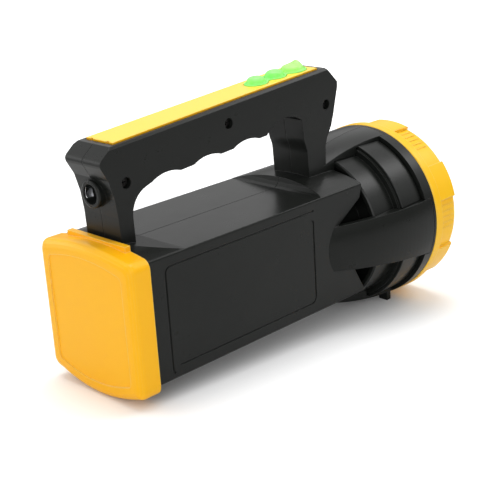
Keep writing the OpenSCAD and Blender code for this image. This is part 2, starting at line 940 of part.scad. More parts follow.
module half_space(side) {
    translate([x_rear - over, side > 0 ? seam / 2 : -lip_d - seam / 2, -over])
        cube([2 * x_mouth + 2 * over, lip_d, 4 * lip_d]);
}

module body_right() {
    color([0.16, 0.165, 0.16])
        difference() {
            union() {
                intersection() {
                    both_shells();
                    half_space(-1);
                }
                // Standoffs of the control board
                for (at = board_posts)
                    rod_y(-inner_half - 0.5 * wall, board_y - board_t, post_r - post_taper, at);
            }
            sunk_line();
        }
}
board_posts = [
    [board_x[0] + board_inset, board_z[0] + board_inset],
    [board_x[1] - board_inset, board_z[1] - board_inset]
];

module body_left() {
    at = [crank_x, crank_z];
    color([0.16, 0.165, 0.16])
        difference() {
            union() {
                intersection() {
                    both_shells();
                    half_space(1);
                }
                rod_y(cup_y, box_w / 2 - 0.5 * wall, drum_r + cup_gap + cup_wall, at);
                for (p = post_at)
                    rod_y(plate_y + plate_t, box_w / 2 - 0.5 * wall, post_r, p);
                // Ring that holds the generator's outer end
                rod_y(generator_y + generator_l - can_hold, box_w / 2 - 0.5 * wall,
                    generator_r + fit_gap + can_rim, rotor_at);
            }
            rod_y(cup_y + cup_floor, box_w, drum_r + cup_gap, at);
            rod_y(cup_y - over, box_w / 2, shaft_r + bush_wall + press_gap, at);
            rod_y(generator_y, generator_y + generator_l + fit_gap, generator_r + fit_gap, rotor_at);
            for (p = post_at)
                rod_y(plate_y, plate_y + plate_t + screw_l + over, shank_r, p);
        }
}

// Cap

function cap_outline(inset) = section(cap_w - 2 * inset, floor_z - cap_under + inset,
    deck_z + cap_over - inset,
    cap_top_rise, cap_bottom_rise, cap_corner - 0.5 * inset, cap_corner_n);

module rear_cap() {
    inner_w = box_w - 2 * spigot_side + 2 * fit_gap;
    flat_inset = panel_inset - ring_in;
    round_shares = [[0, 1], [0.04, 0.66], [0.2, 0.36], [0.45, 0.15], [0.72, 0.04], [1, 0]];
    color([0.98, 0.72, 0.2])
        difference() {
            union() {
                loft_x(
                    [for (s = round_shares) x_rear + s[0] * 2 * cap_bevel, x_box],
                    [for (s = round_shares) cap_outline(s[1] * flat_inset), cap_outline(0)]
                );
                // Thumb bar
                translate([x_box - bar_l, -bar_w / 2, deck_z + cap_over + cap_top_rise - bar_sink])
                    cube([bar_l, bar_w, bar_h]);
            }
            along_x(x_rear + cap_back + panel_depth, x_box + over)
                polygon(tub(
                    inner_w, floor_z + spigot_drop - fit_gap, deck_z - spigot_drop + fit_gap,
                        box_rise, edge_cut));
            along_x(x_rear - over, x_rear + panel_depth)
                polygon(section(
                    cap_w - 2 * panel_inset, floor_z - cap_under + panel_inset - panel_low,
                    deck_z + cap_over - panel_inset + panel_high, cap_top_rise, cap_bottom_rise - panel_low,
                    0.7 * cap_corner, cap_corner_n
                ));
        }
}

// Handle pieces

module handle_strip() {
    color([0.99, 0.73, 0.2])
        on_handle()
            difference() {
                union() {
                    translate([strip_start, -strip_w / 2, -strip_sink])
                        cube([strip_l, strip_w, strip_t - strip_dish]);
                    translate([strip_start, -strip_w / 2, -strip_sink])
                        cube([strip_l, strip_rib, strip_t]);
                    translate([strip_start, strip_w / 2 - strip_rib, -strip_sink])
                        cube([strip_l, strip_rib, strip_t]);
                }
                // Notches at the rear end
                for (side = [-1, 1])
                    translate([strip_start - over, side * strip_w * 0.3 - notch_half, 0])
                        cube([2 * over, 2 * notch_half, strip_t]);
                // Opening round the keys, with a pocket for the web's flange below
                translate([0, 0, -strip_sink - over])
                    linear_extrude(2 * strip_t + over)
                        round_slot(button_s[0] - web_slot_half - fit_gap,
                            button_s[2] + web_slot_half + fit_gap,
                            web_slot_half + fit_gap);
                translate([0, 0, -strip_sink - over])
                    linear_extrude(web_t + fit_gap / 2 + over)
                        round_slot(button_s[0] - web_half - fit_gap, button_s[2] + web_half + fit_gap,
                            web_half + fit_gap);
            }
}

module keypad_web() {
    color([0.45, 0.92, 0.38])
        on_handle()
            difference() {
                union() {
                    translate([0, 0, -strip_sink])
                        linear_extrude(web_t)
                            round_slot(button_s[0] - web_half, button_s[2] + web_half, web_half);
                    translate([0, 0, -strip_sink])
                        linear_extrude(strip_t + web_rise)
                            round_slot(button_s[0] - web_slot_half, button_s[2] + web_slot_half,
                                web_slot_half);
                }
                for (i = [0 : 2])
                    translate([button_s[i], 0, -strip_sink - over])
                        cylinder(h = 2 * strip_t + 2 * over,
                            r = (i < 2 ? button_r : front_button_r) + fit_gap);
            }
}

// A push button with a domed top, a flange under the web and a skirt round the switch's plunger
module button(i, r) {
    crown = 0.45 * button_h;
    top = strip_proud + button_h;
    on_handle()
        translate([button_s[i], 0, 0])
            difference() {
                union() {
                    rotate_extrude()
                        polygon([
                            [0, flange_top], [r, flange_top], [r, top - crown], [0.93 * r,
                                top - 0.6 * crown],
                            [0.78 * r, top - 0.28 * crown], [0.5 * r, top - 0.08 * crown],
                                [0.12 * r, top], [0, top]
                        ]);
                    translate([0, 0, flange_top - flange_t])
                        cylinder(h = flange_t, r = r + flange_rim);
                    translate([0, 0, skirt_end])
                        cylinder(h = skirt_l + flange_t, r = skirt_r);
                    children();
                }
                translate([0, 0, skirt_end - over])
                    cylinder(h = button_travel + plunger_h + over + key_gap, r = plunger_r + fit_gap);
            }
}

module button_rear() {
    color([0.5, 0.97, 0.42])
        button(0, button_r);
}

module button_middle() {
    color([0.5, 0.97, 0.42])
        button(1, button_r);
}

module button_front() {
    r = front_button_r;
    low = strip_proud + 0.5 * button_h;
    rise = 1.3 * button_h;
    beak_shares = [[-0.6, 0], [0, 0.66], [0.35, 0.93], [0.56, 1], [0.72, 0.95], [0.8, 0.8], [0.9, 0]];
    color([0.82, 0.98, 0.58])
        button(2, r)
            along_y(-0.5 * r, 0.5 * r)
                polygon([for (s = beak_shares) [s[0] * r, low + s[1] * rise]]);
}

module handle_screws() {
    color([0.12, 0.12, 0.12])
        for (s = screw_shares)
            difference() {
                union() {
                    rod_y(-handle_w / 2 + head_depth, -handle_w / 2 + head_depth + head_t,
                        2 * shank_r, on_outline(s));
                    rod_y(-handle_w / 2 + head_depth + head_t, handle_w / 2 - 2.5 * wall, shank_r,
                        on_outline(s));
                }
                translate([on_outline(s)[0], -handle_w / 2 + head_depth, on_outline(s)[1]])
                    for (a = [0, 90])
                        rotate([0, a, 0])
                            cube([2.2 * shank_r, head_t, 0.5 * shank_r], center = true);
            }
}

module charge_socket() {
    r = socket_r + socket_wall;
    color([0.1, 0.1, 0.1])
        difference() {
            rod_x(socket_x, socket_x + socket_depth + socket_back, r, 0, socket_z);
            rod_x(socket_x - over, socket_x + socket_depth, socket_r, 0, socket_z);
            rod_x(socket_x, socket_x + socket_depth + contact_t, 0.6 * socket_r, 0, socket_z);
        }
}

module charge_contact() {
    color([0.85, 0.68, 0.3])
        rod_x(socket_x + socket_depth, socket_x + socket_depth + contact_t,
            0.6 * socket_r - press_gap, 0, socket_z);
}

module switch_board() {
    color([0.1, 0.35, 0.18])
        on_handle()
            translate([button_s[0] - web_reach + board_side, -switch_board_half, board_top - board_t])
                cube([2 * (button_pitch + web_reach - board_side), 2 * switch_board_half, board_t]);
}

module switches() {
    color([0.2, 0.2, 0.2])
        on_handle()
            for (s = button_s)
                translate([s, 0, board_top]) {
                    translate([-switch_w / 2, -switch_w / 2, 0])
                        cube([switch_w, switch_w, switch_h]);
                    translate([0, 0, switch_h])
                        cylinder(h = plunger_h, r = plunger_r);
                }
}

// Lamp head

module lamp_housing() {
    step = band_step;
    step_r = rear_band_r + 0.62 * (front_band_r - rear_band_r);
    plate_x = x_rear_band + plate_place;
    wide_bore = seat_r - seat_wall;
    x_step = x_front_band + head_wall;
    back_x = x_bulkhead - fit_gap;
    color([0.17, 0.175, 0.17])
        difference() {
            turned([
                [neck_r - neck_t, back_x - flange_of_neck], [neck_r + flange_of_neck,
                    back_x - flange_of_neck],
                [neck_r + flange_of_neck, back_x], [neck_r, back_x], [neck_r, plate_x],
                [rear_band_r - head_wall, plate_x], [rear_band_r - head_wall, x_rear_band],
                [rear_band_r - 0.3 * head_wall, x_rear_band], [rear_band_r, x_rear_band + 0.3 * head_wall],
                [rear_band_r, x_front_band - step], [step_r, x_front_band - step], [step_r, x_front_band],
                [front_band_r - 0.25 * step, x_front_band], [front_band_r, x_front_band + 0.25 * step],
                [front_band_r, x_groove], [seat_r, x_groove], [seat_r, x_rim], [rim_r, x_rim],
                [rim_r, x_bezel], [turn_r, x_bezel], [turn_r, turn_end], [turn_bore, turn_end],
                [turn_bore, x_bezel], [wide_bore, x_bezel - head_wall], [wide_bore, x_step],
                [rear_band_r - head_wall, x_step], [rear_band_r - head_wall, plate_x + head_wall],
                [neck_r - neck_t, plate_x + head_wall]
            ]);
            intersection() {
                ring_x(x_front_band - over - step, arm_end + fit_gap, rim_r + over, seat_r);
                union() {
                    translate([0, 0, axis_z])
                        top_trim(fit_gap);
                    bottom_trim(fit_gap);
                    wing_trim(1, fit_gap);
                    wing_trim(-1, fit_gap);
                }
            }
        }
}

module bezel_ring() {
    bore = turn_r + fit_gap;
    back = x_bezel + bezel_gap;
    color([0.98, 0.72, 0.2])
        difference() {
            union() {
                turned([
                    [bore, back], [lip_d / 2 - lip_edge, back], [lip_d / 2, back + lip_edge],
                    [lip_d / 2, x_bezel + lip_l - 2 * lip_edge], [lip_d / 2 - 2 * lip_edge,
                        x_bezel + lip_l],
                    [valley_d / 2, x_bezel + lip_l], [valley_d / 2 - 0.5 * lip_edge, x_mouth - mouth_edge],
                    [valley_d / 2 - 1.5 * lip_edge, x_mouth - 0.4 * mouth_edge],
                        [valley_d / 2 - 4 * lip_edge, x_mouth],
                    [mouth_d / 2 + 3 * lip_edge, x_mouth], [mouth_d / 2, x_mouth - 3 * lip_edge],
                    [mouth_d / 2, bezel_lip_x], [bore, bezel_lip_x]
                ]);
                for (i = [0 : pad_n - 1])
                    translate([0, 0, axis_z])
                        rotate([0, 90, 0])
                            rotate([0, 0, pad_turn - pad_angle / 2 + i * 360 / pad_n])
                                rotate_extrude(angle = pad_angle)
                                    polygon([
                                        [valley_d / 2 - over, x_bezel + lip_l - over],
                                        [valley_d / 2 + pad_rise, x_bezel + lip_l - over],
                                        [valley_d / 2 + pad_rise, x_mouth - 0.7 * mouth_edge],
                                        [valley_d / 2 + 0.4 * pad_rise, x_mouth - 0.3 * mouth_edge],
                                        [valley_d / 2 - over, x_mouth - 0.3 * mouth_edge]
                                    ]);
            }
        }
}

module lens() {
    color([0.85, 0.92, 0.95])
        rod_x(turn_end + reflector_lip, turn_end + reflector_lip + lens_t, lens_r);
}

module lens_seal() {
    x0 = turn_end + reflector_lip + lens_t;
    color([0.08, 0.08, 0.08])
        ring_x(x0, x0 + seal_t, lens_r, mouth_d / 2 + seal_inset);
}

// A parabolic bowl, open at the back round the light source
module reflector() {
    back = sink_front + board_t;
    vertex = back + vertex_gap;
    bowl_front = turn_bore - fit_gap - reflector_wall;
    bowl_l = turn_end - vertex;
    function bowl(share) = [sqrt(pow(reflector_back_r, 2)
        + share * (pow(bowl_front, 2) - pow(reflector_back_r, 2))), vertex + share * bowl_l];
    bowl_shares = [0, 0.03, 0.08, 0.15, 0.24, 0.34, 0.45, 0.56, 0.67, 0.78, 0.89, 1];
    color([0.85, 0.86, 0.88])
        turned(concat(
            [[reflector_back_r, back]],
            [for (s = bowl_shares) bowl(s)],
            [[bowl_front, turn_end + reflector_lip], [lens_r, turn_end + reflector_lip], [lens_r,
                turn_end]],
            [for (i = [11 : -1 : 0]) bowl(bowl_shares[i]) + [reflector_wall, 0]],
            [[reflector_back_r + reflector_wall, back]]
        ));
}

module led_board() {
    color([0.9, 0.9, 0.88])
        rod_x(sink_front, sink_front + board_t, reflector_back_r + led_board_rim);
}

module led_emitter() {
    x0 = sink_front + board_t;
    half = 0.38 * reflector_back_r;
    color([0.95, 0.85, 0.3]) {
        translate([x0, -half, axis_z - half])
            cube([led_t, 2 * half, 2 * half]);
        rod_x(x0 + led_t, x0 + 1.8 * led_t, 0.8 * half);
    }
}

module heat_sink() {
    r = neck_r - neck_t - press_gap;
    back = sink_front - fin_base - fin_l;
    color([0.75, 0.76, 0.78])
        intersection() {
            rod_x(back, sink_front, r);
            union() {
                rod_x(sink_front - fin_base, sink_front, r + over);
                for (i = [-2 : 2])
                    translate([back, i * 0.36 * r - fin_t / 2, axis_z - r])
                        cube([fin_l + over, fin_t, 2 * r]);
            }
        }
}

// Power

module battery_holder() {
    x0 = cell_x - contact_t - holder_end;
    x1 = cell_x + cell_l + contact_t + holder_end;
    z0 = cell_z[0] - cell_r - holder_wall;
    z1 = cell_z[1] + cell_r + holder_wall;
    color([0.14, 0.14, 0.15])
        difference() {
            translate([x0, -inner_half, z0])
                cube([x1 - x0, inner_half + cell_y + 0.3 * cell_r, z1 - z0]);
            for (z = cell_z)
                rod_x(cell_x - contact_t, cell_x + cell_l + contact_t, cell_r + fit_gap, cell_y, z);
        }
}

module battery_cell(z) {
    rod_x(cell_x, cell_x + cell_l - cell_nub, cell_r, cell_y, z);
    rod_x(cell_x + cell_l - cell_nub, cell_x + cell_l, 0.35 * cell_r, cell_y, z);
}

module battery_cell_lower() {
    color([0.2, 0.45, 0.75])
        battery_cell(cell_z[0]);
}

module battery_cell_upper() {
    color([0.2, 0.45, 0.75])
        battery_cell(cell_z[1]);
}

module battery_contacts() {
    color([0.8, 0.8, 0.82])
        for (z = cell_z)
            for (x = [cell_x - contact_t, cell_x + cell_l])
                rod_x(x, x + contact_t, 0.6 * cell_r, cell_y, z);
}

module control_board() {
    color([0.1, 0.35, 0.18])
        difference() {
            translate([board_x[0], board_y - board_t, board_z[0]])
                cube([board_x[1] - board_x[0], board_t, board_z[1] - board_z[0]]);
            for (at = board_posts)
                rod_y(board_y - board_t - over, board_y + over, shank_r, at);
        }
}

module board_parts() {
    w = board_x[1] - board_x[0];
    h = board_z[1] - board_z[0];
    color([0.15, 0.15, 0.16]) {
        rod_y(board_y - board_t - tall_part, board_y - board_t, part_size, [board_x[0] + 0.65 * w,
            board_z[0] + 0.3 * h]);
        translate([board_x[0] + 0.2 * w, board_y - board_t - flat_part, board_z[0] + 0.5 * h])
            cube([0.3 * w, flat_part, 0.14 * h]);
        translate([board_x[0] + 0.2 * w, board_y - board_t - part_size, board_z[0] + 0.75 * h])
            cube([0.25 * w, part_size, 0.16 * h]);
    }
}

// The crank is drawn folded into its drum, with its hinge towards the lamp

fold_at = [crank_x + fold_r, crank_z];
knob_at = [crank_x + fold_r - arm_l, crank_z];

module crank_drum() {
    at = [crank_x, crank_z];
    slot_half = arm_w / 2 + slot_gap;
    pocket_r = knob_r + pocket_gap;
    lug_r = knuckle_r + slot_gap;
    color([0.2, 0.205, 0.2])
        difference() {
            union() {
                rod_y(drum_back, drum_face, drum_r, at);
                for (z = [crank_z - slot_half - lug_w, crank_z + slot_half]) {
                    translate([fold_at[0], pin_y, z])
                        cylinder(h = lug_w, r = lug_r);
                    translate([fold_at[0] - lug_r, drum_face - over, z])
                        cube([2 * lug_r, pin_y - drum_face + over, lug_w]);
                }
            }
            // Slot for the arm, open at the rim
            translate([crank_x - drum_r - over, slot_floor, crank_z - slot_half])
                cube([fold_r + drum_r + over + lug_r, 2 * drum_t, 2 * slot_half]);
            // Pocket for the knob, open at the rim
            rod_y(knob_end - pocket_gap, drum_face + over, pocket_r, knob_at);
            translate([crank_x - drum_r - over, knob_end - pocket_gap, crank_z - pocket_r])
                cube([knob_at[0] - crank_x + drum_r + over, drum_t, 2 * pocket_r]);
            rod_y(drum_back - over, drum_back + shaft_sink, shaft_r + press_gap, at);
            translate([fold_at[0], pin_y, crank_z - slot_half - lug_w - over])
                cylinder(h = 2 * slot_half + 2 * lug_w + 2 * over, r = pin_r + press_gap);
        }
}

module crank_shaft() {
    color([0.7, 0.71, 0.73])
        rod_y(plate_y + fit_gap, drum_back + shaft_sink, shaft_r, [crank_x, crank_z]);
}

module crank_bush() {
    at = [crank_x, crank_z];
    color([0.8, 0.6, 0.3])
        difference() {
            rod_y(cup_y, cup_y + cup_floor, shaft_r + bush_wall, at);
            rod_y(cup_y - over, cup_y + cup_floor + over, shaft_r + run_gap, at);
        }
}

module drive_gear() {
    at = [crank_x, crank_z];
    color([0.9, 0.9, 0.86])
        difference() {
            gear(at, drive_module, drive_n, one_angle, drive_y, drive_y + gear_face);
            rod_y(drive_y - over, drive_y + gear_face + over, shaft_r + press_gap, at);
        }
}

module hinge_pin() {
    half = arm_w / 2 + slot_gap + lug_w;
    color([0.7, 0.71, 0.73])
        translate([fold_at[0], pin_y, crank_z - half])
            cylinder(h = 2 * half, r = pin_r);
}

module crank_arm() {
    top = pin_y - arm_drop;
    color([0.2, 0.205, 0.2])
        difference() {
            union() {
                translate([fold_at[0], pin_y, crank_z - arm_w / 2])
                    cylinder(h = arm_w, r = knuckle_r);
                translate([knob_at[0], top - arm_t, crank_z - arm_w / 2])
                    cube([arm_l, arm_t, arm_w]);
                rod_y(top - arm_t, top, arm_w / 2, knob_at);
            }
            translate([fold_at[0], pin_y, crank_z - arm_w / 2 - over])
                cylinder(h = arm_w + 2 * over, r = pin_r + run_gap);
            rod_y(top - arm_t - over, top - arm_skin, knob_axle_r + press_gap, knob_at);
        }
}

module knob_pin() {
    color([0.7, 0.71, 0.73]) {
        rod_y(knob_end + pin_head, pin_y - arm_drop - arm_skin, knob_axle_r, knob_at);
        rod_y(knob_end + pin_inset, knob_end + pin_head, 1.8 * knob_axle_r, knob_at);
    }
}

module crank_knob() {
    color([0.2, 0.205, 0.2])
        difference() {
            translate([knob_at[0], knob_end, knob_at[1]])
                rotate([-90, 0, 0])
                    rotate_extrude()
                        polygon([
                            [0, 0], [knob_r - knob_edge, 0], [knob_r, knob_edge], [0.92 * knob_r,
                                0.5 * knob_l],
                            [knob_r, knob_l - knob_edge], [knob_r - knob_edge, knob_l], [0, knob_l]
                        ]);
            rod_y(knob_end - over, knob_end + knob_l + over, knob_axle_r + run_gap, knob_at);
            rod_y(knob_end - over, knob_end + pin_head + fit_gap, 1.8 * knob_axle_r + fit_gap, knob_at);
        }
}

// Gears and generator

module gear_one() {
    color([0.9, 0.9, 0.86])
        difference() {
            union() {
                gear(one_at, fast_module, wheel_one_n, two_angle, wheel_one_y, wheel_one_y + thin_face);
                gear(one_at, drive_module, pinion_n, one_angle + 180 + 180 / pinion_n,
                    drive_y - fit_gap, drive_y + gear_face + fit_gap);
                rod_y(wheel_one_y + 0.5 * thin_face, drive_y, 0.78 * drive_module * pinion_n / 2, one_at);
            }
            rod_y(wheel_one_y - over, drive_y + gear_face + over, axle_r + run_gap, one_at);
        }
}

module gear_two() {
    color([0.9, 0.9, 0.86])
        difference() {
            union() {
                gear(two_at, fast_module, wheel_two_n, rotor_angle, wheel_two_y, wheel_two_y + two_face);
                gear(two_at, fast_module, pinion_n, two_angle + 180 + 180 / pinion_n,
                    wheel_one_y - fit_gap, wheel_one_y + thin_face + fit_gap);
                rod_y(wheel_two_y + 0.5 * two_face, wheel_one_y, 0.78 * fast_module * pinion_n / 2, two_at);
            }
            rod_y(wheel_two_y - over, wheel_one_y + thin_face + over, axle_r + run_gap, two_at);
        }
}

module gear_axles() {
    color([0.7, 0.71, 0.73]) {
        rod_y(plate_y, cup_y, axle_r, one_at);
        rod_y(plate_y, wheel_one_y + thin_face + axle_end, axle_r, two_at);
    }
}

module gear_plate() {
    m = plate_margin;
    color([0.78, 0.79, 0.8])
        difference() {
            along_y(plate_y, plate_y + plate_t)
                polygon([
                    post_at[0] + [-m, -m], post_at[0] + [0.5 * m, -2.6 * m], one_at + [0, -2 * m],
                    post_at[2] + [0, -m], post_at[2] + [m, 0], rotor_at + [1.4 * m, 0],
                        rotor_at + [m, 1.8 * m],
                    post_at[1] + [m, 0], post_at[1] + [m, m], post_at[1] + [-m, m], post_at[0] + [m, 3 * m],
                    post_at[0] + [-m, m]
                ]);
            rod_y(plate_y - over, plate_y + plate_t + over, shaft_r + run_gap, [crank_x, crank_z]);
            for (at = [one_at, two_at])
                rod_y(plate_y - over, plate_y + plate_t + over, axle_r + press_gap, at);
            rod_y(plate_y - over, plate_y + plate_t + over, axle_r + run_gap, rotor_at);
            for (at = post_at)
                rod_y(plate_y - over, plate_y + plate_t + over, shank_r + fit_gap, at);
        }
}

module plate_screws() {
    color([0.6, 0.6, 0.62])
        for (at = post_at) {
            rod_y(plate_y - screw_head, plate_y, 2 * shank_r, at);
            rod_y(plate_y, plate_y + plate_t + screw_l, shank_r - press_gap, at);
        }
}

module generator_can() {
    y1 = generator_y + generator_l;
    color([0.72, 0.73, 0.75])
        difference() {
            rod_y(generator_y, y1, generator_r, rotor_at);
            rod_y(generator_y + can_wall, y1 - can_wall, generator_r - can_wall, rotor_at);
            rod_y(generator_y - over, generator_y + 2 * can_wall, axle_r + run_gap, rotor_at);
        }
}

module generator_core() {
    y1 = generator_y + generator_l;
    color([0.5, 0.5, 0.52])
        difference() {
            rod_y(generator_y + core_inset, y1 - core_inset, generator_r - can_wall - press_gap, rotor_at);
            rod_y(generator_y, generator_y + generator_l, 0.8 * generator_r, rotor_at);
        }
}

module generator_coils() {
    y1 = generator_y + generator_l;
    color([0.75, 0.4, 0.2])
        difference() {
            rod_y(generator_y + coil_inset, y1 - coil_inset, 0.8 * generator_r - press_gap, rotor_at);
            rod_y(generator_y, generator_y + generator_l, 0.65 * generator_r, rotor_at);
        }
}

module generator_rotor() {
    y1 = generator_y + generator_l;
    color([0.6, 0.6, 0.62]) {
        rod_y(plate_y + fit_gap, y1 - can_wall - fit_gap, axle_r, rotor_at);
        rod_y(generator_y + rotor_inset, y1 - rotor_inset, 0.6 * generator_r, rotor_at);
        gear(rotor_at, fast_module, pinion_n, rotor_angle + 180 + 180 / pinion_n,
            wheel_two_y - fit_gap, wheel_two_y + two_face + fit_gap);
    }
}

// Wires

module lamp_wires() {
    y = board_y - board_t - wire_gap;
    color([0.75, 0.15, 0.12])
        cable([[board_x[1] - wire_in, y, axis_z], [sink_front - fin_base - fin_l - wire_gap, y,
            axis_z]], cable_half);
}

module charge_wires() {
    x0 = on_outline(post_rear_share)[0] - wall - post_wire;
    x1 = board_x[0] + wire_in;
    y = plate_y - wire_side;
    z1 = board_z[1] - wire_in;
    color([0.75, 0.15, 0.12])
        cable([[x0, 0, socket_z - wire_drop], [x0, 0, cable_z], [x0, y, cable_z], [x1, y, cable_z],
            [x1, y, z1], [x1, board_y + cable_half + key_gap, z1]], cable_half);
}

module switch_wires() {
    x0 = on_outline(post_front_shares[0])[0] + wall + 2 * cable_half;
    z1 = board_z[1] - wire_end;
    x1 = (board_x[0] + board_x[1]) / 2;
    y = -0.35 * handle_w;
    color([0.8, 0.75, 0.2])
        cable([[x0, y, grip_front[1] - wire_start], [x0, y, cable_z], [x0, cable_y, cable_z], [x1,
            cable_y, cable_z],
            [x1, cable_y, z1], [x1, board_y - board_t - cable_half - key_gap, z1]], cable_half);
}

module generator_wires() {
    x = rotor_at[0] + 0.73 * generator_r;
    z = rotor_at[1] + 0.5 * generator_r;
    color([0.2, 0.5, 0.25])
        cable([[x, board_y + cable_half + key_gap, z], [x, generator_y - cable_half - key_gap, z]],
            cable_half);
}

body_right();
body_left();
rear_cap();
handle_strip();
keypad_web();
button_rear();
button_middle();
button_front();
handle_screws();
charge_socket();
charge_contact();
lamp_housing();
bezel_ring();
lens();
lens_seal();
reflector();
led_board();
led_emitter();
heat_sink();
switch_board();
switches();
battery_holder();
battery_cell_lower();
battery_cell_upper();
battery_contacts();
control_board();
board_parts();
crank_drum();
crank_shaft();
crank_bush();
drive_gear();
hinge_pin();
crank_arm();
knob_pin();
crank_knob();
gear_one();
gear_two();
gear_axles();
gear_plate();
plate_screws();
generator_can();
generator_core();
generator_coils();
generator_rotor();
lamp_wires();
charge_wires();
switch_wires();
generator_wires();
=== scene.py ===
import bpy
import bmesh
import json
import math
from mathutils import Matrix, Vector


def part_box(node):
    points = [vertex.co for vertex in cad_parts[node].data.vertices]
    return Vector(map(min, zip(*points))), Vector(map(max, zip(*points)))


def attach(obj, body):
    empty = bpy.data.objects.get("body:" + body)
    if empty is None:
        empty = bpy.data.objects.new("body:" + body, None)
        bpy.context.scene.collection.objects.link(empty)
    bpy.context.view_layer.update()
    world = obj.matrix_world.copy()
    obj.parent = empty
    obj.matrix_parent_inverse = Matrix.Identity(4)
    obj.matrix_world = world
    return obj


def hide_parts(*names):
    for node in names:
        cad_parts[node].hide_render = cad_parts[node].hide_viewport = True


mm = 0.001
print("lamp: loading the frame")
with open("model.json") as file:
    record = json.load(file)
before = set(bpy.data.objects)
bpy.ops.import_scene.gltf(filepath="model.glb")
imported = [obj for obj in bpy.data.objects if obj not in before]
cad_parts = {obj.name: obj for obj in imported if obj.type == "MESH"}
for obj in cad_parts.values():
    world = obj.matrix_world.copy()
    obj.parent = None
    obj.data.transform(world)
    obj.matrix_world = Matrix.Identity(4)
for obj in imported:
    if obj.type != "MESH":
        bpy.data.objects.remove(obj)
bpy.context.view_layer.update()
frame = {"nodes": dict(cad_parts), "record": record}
nodes = frame["nodes"]
record = frame["record"]
slotOf = {part["node"]: part["material_slot"] for part in record["subparts"]}


# Camera, as a long lens from the lamp's right rear
cameraView = {
    "target": (-5.6 * mm, 0, 48.2 * mm),
    "distance": 549.2 * mm,
    "azimuth": -44.1,  # degrees
    "elevation": 19.6,
    "roll": -3.5,
    "lens": 81.9,
    "sensor": 36,
    "clip": (0.01, 20),
}


def addCamera(view):
    azimuth, elevation = math.radians(view["azimuth"]), math.radians(view["elevation"])
    back = Vector((
        math.sin(azimuth) * math.cos(elevation),
        -math.cos(azimuth) * math.cos(elevation),
        math.sin(elevation),
    ))
    camera = bpy.data.objects.new("camera", bpy.data.cameras.new("camera"))
    bpy.context.scene.collection.objects.link(camera)
    camera.data.lens = view["lens"]
    camera.data.sensor_width = view["sensor"]
    camera.data.clip_start, camera.data.clip_end = view["clip"]
    roll = Matrix.Rotation(math.radians(view["roll"]), 3, "Z")
    turn = (-back).to_track_quat("-Z", "Y").to_matrix() @ roll
    place = Vector(view["target"]) + back * view["distance"]
    camera.matrix_world = Matrix.Translation(place) @ turn.to_4x4()
    bpy.context.scene.camera = camera


addCamera(cameraView)


# One material's nodes, with a short call for each kind that the finishes need
class Shader:
    def __init__(self, name):
        self.material = bpy.data.materials.new(name)
        self.material.use_nodes = True
        self.tree = self.material.node_tree
        self.tree.nodes.clear()
        self.out = self.add("ShaderNodeOutputMaterial")
        self.place = self.add("ShaderNodeTexCoord").outputs["Object"]

    def add(self, kind, **settings):
        node = self.tree.nodes.new(kind)
        for key, value in settings.items():
            setattr(node, key, value)
        return node

    def link(self, source, target):
        self.tree.links.new(source, target)

    def surface(self, settings):
        node = self.add("ShaderNodeBsdfPrincipled")
        for key, value in settings.items():
            node.inputs[key].default_value = value
        self.link(node.outputs["BSDF"], self.out.inputs["Surface"])
        return node.inputs

    def noise(self, scale, detail=3, roughness=0.5, stretch=None):
        node = self.add("ShaderNodeTexNoise")
        node.inputs["Scale"].default_value = scale
        node.inputs["Detail"].default_value = detail
        node.inputs["Roughness"].default_value = roughness
        place = self.place
        if stretch:
            mapping = self.add("ShaderNodeMapping")
            mapping.inputs["Scale"].default_value = stretch
            self.link(place, mapping.inputs["Vector"])
            place = mapping.outputs["Vector"]
        self.link(place, node.inputs["Vector"])
        return node.outputs["Fac"]

    # Maps a value between first and last to one between low and high
    def span(self, value, low, high, first=0, last=1):
        node = self.add("ShaderNodeMapRange")
        for key, number in zip(("From Min", "From Max", "To Min", "To Max"), (first, last, low, high)):
            node.inputs[key].default_value = number
        self.link(value, node.inputs["Value"])
        return node.outputs["Result"]

    def mixed(self, factor, first, second):
        node = self.add("ShaderNodeMix", data_type="RGBA")
        self.link(factor, node.inputs["Factor"])
        for socket, colour in ((node.inputs[6], first), (node.inputs[7], second)):
            if isinstance(colour, tuple):
                socket.default_value = (*colour, 1)
            else:
                self.link(colour, socket)
        return node.outputs[2]

    def math(self, operation, first, second):
        node = self.add("ShaderNodeMath", operation=operation)
        for socket, value in zip(node.inputs, (first, second)):
            if isinstance(value, (int, float)):
                socket.default_value = value
            else:
                self.link(value, socket)
        return node.outputs[0]

    def softEdge(self, radius, samples=6):
        bevel = self.add("ShaderNodeBevel", samples=samples)
        bevel.inputs["Radius"].default_value = radius
        return bevel.outputs["Normal"]

    def bump(self, height, distance, normal=None):
        node = self.add("ShaderNodeBump")
        node.inputs["Strength"].default_value = 1
        node.inputs["Distance"].default_value = distance
        self.link(height, node.inputs["Height"])
        if normal:
            self.link(normal, node.inputs["Normal"])
        return node.outputs["Normal"]

    # Edge mask: one where the rounded normal leaves the flat one, which is at edges. It lays edge wear, and
    # on the orange finishes a painted edge highlight
    def edgeWearAndHighlight(self, edgeNormal, bent=0.93, straight=0.998):
        flat = self.add("ShaderNodeNewGeometry").outputs["Normal"]
        dot = self.add("ShaderNodeVectorMath", operation="DOT_PRODUCT")
        self.link(edgeNormal, dot.inputs[0])
        self.link(flat, dot.inputs[1])
        return self.span(dot.outputs["Value"], 1, 0, bent, straight)


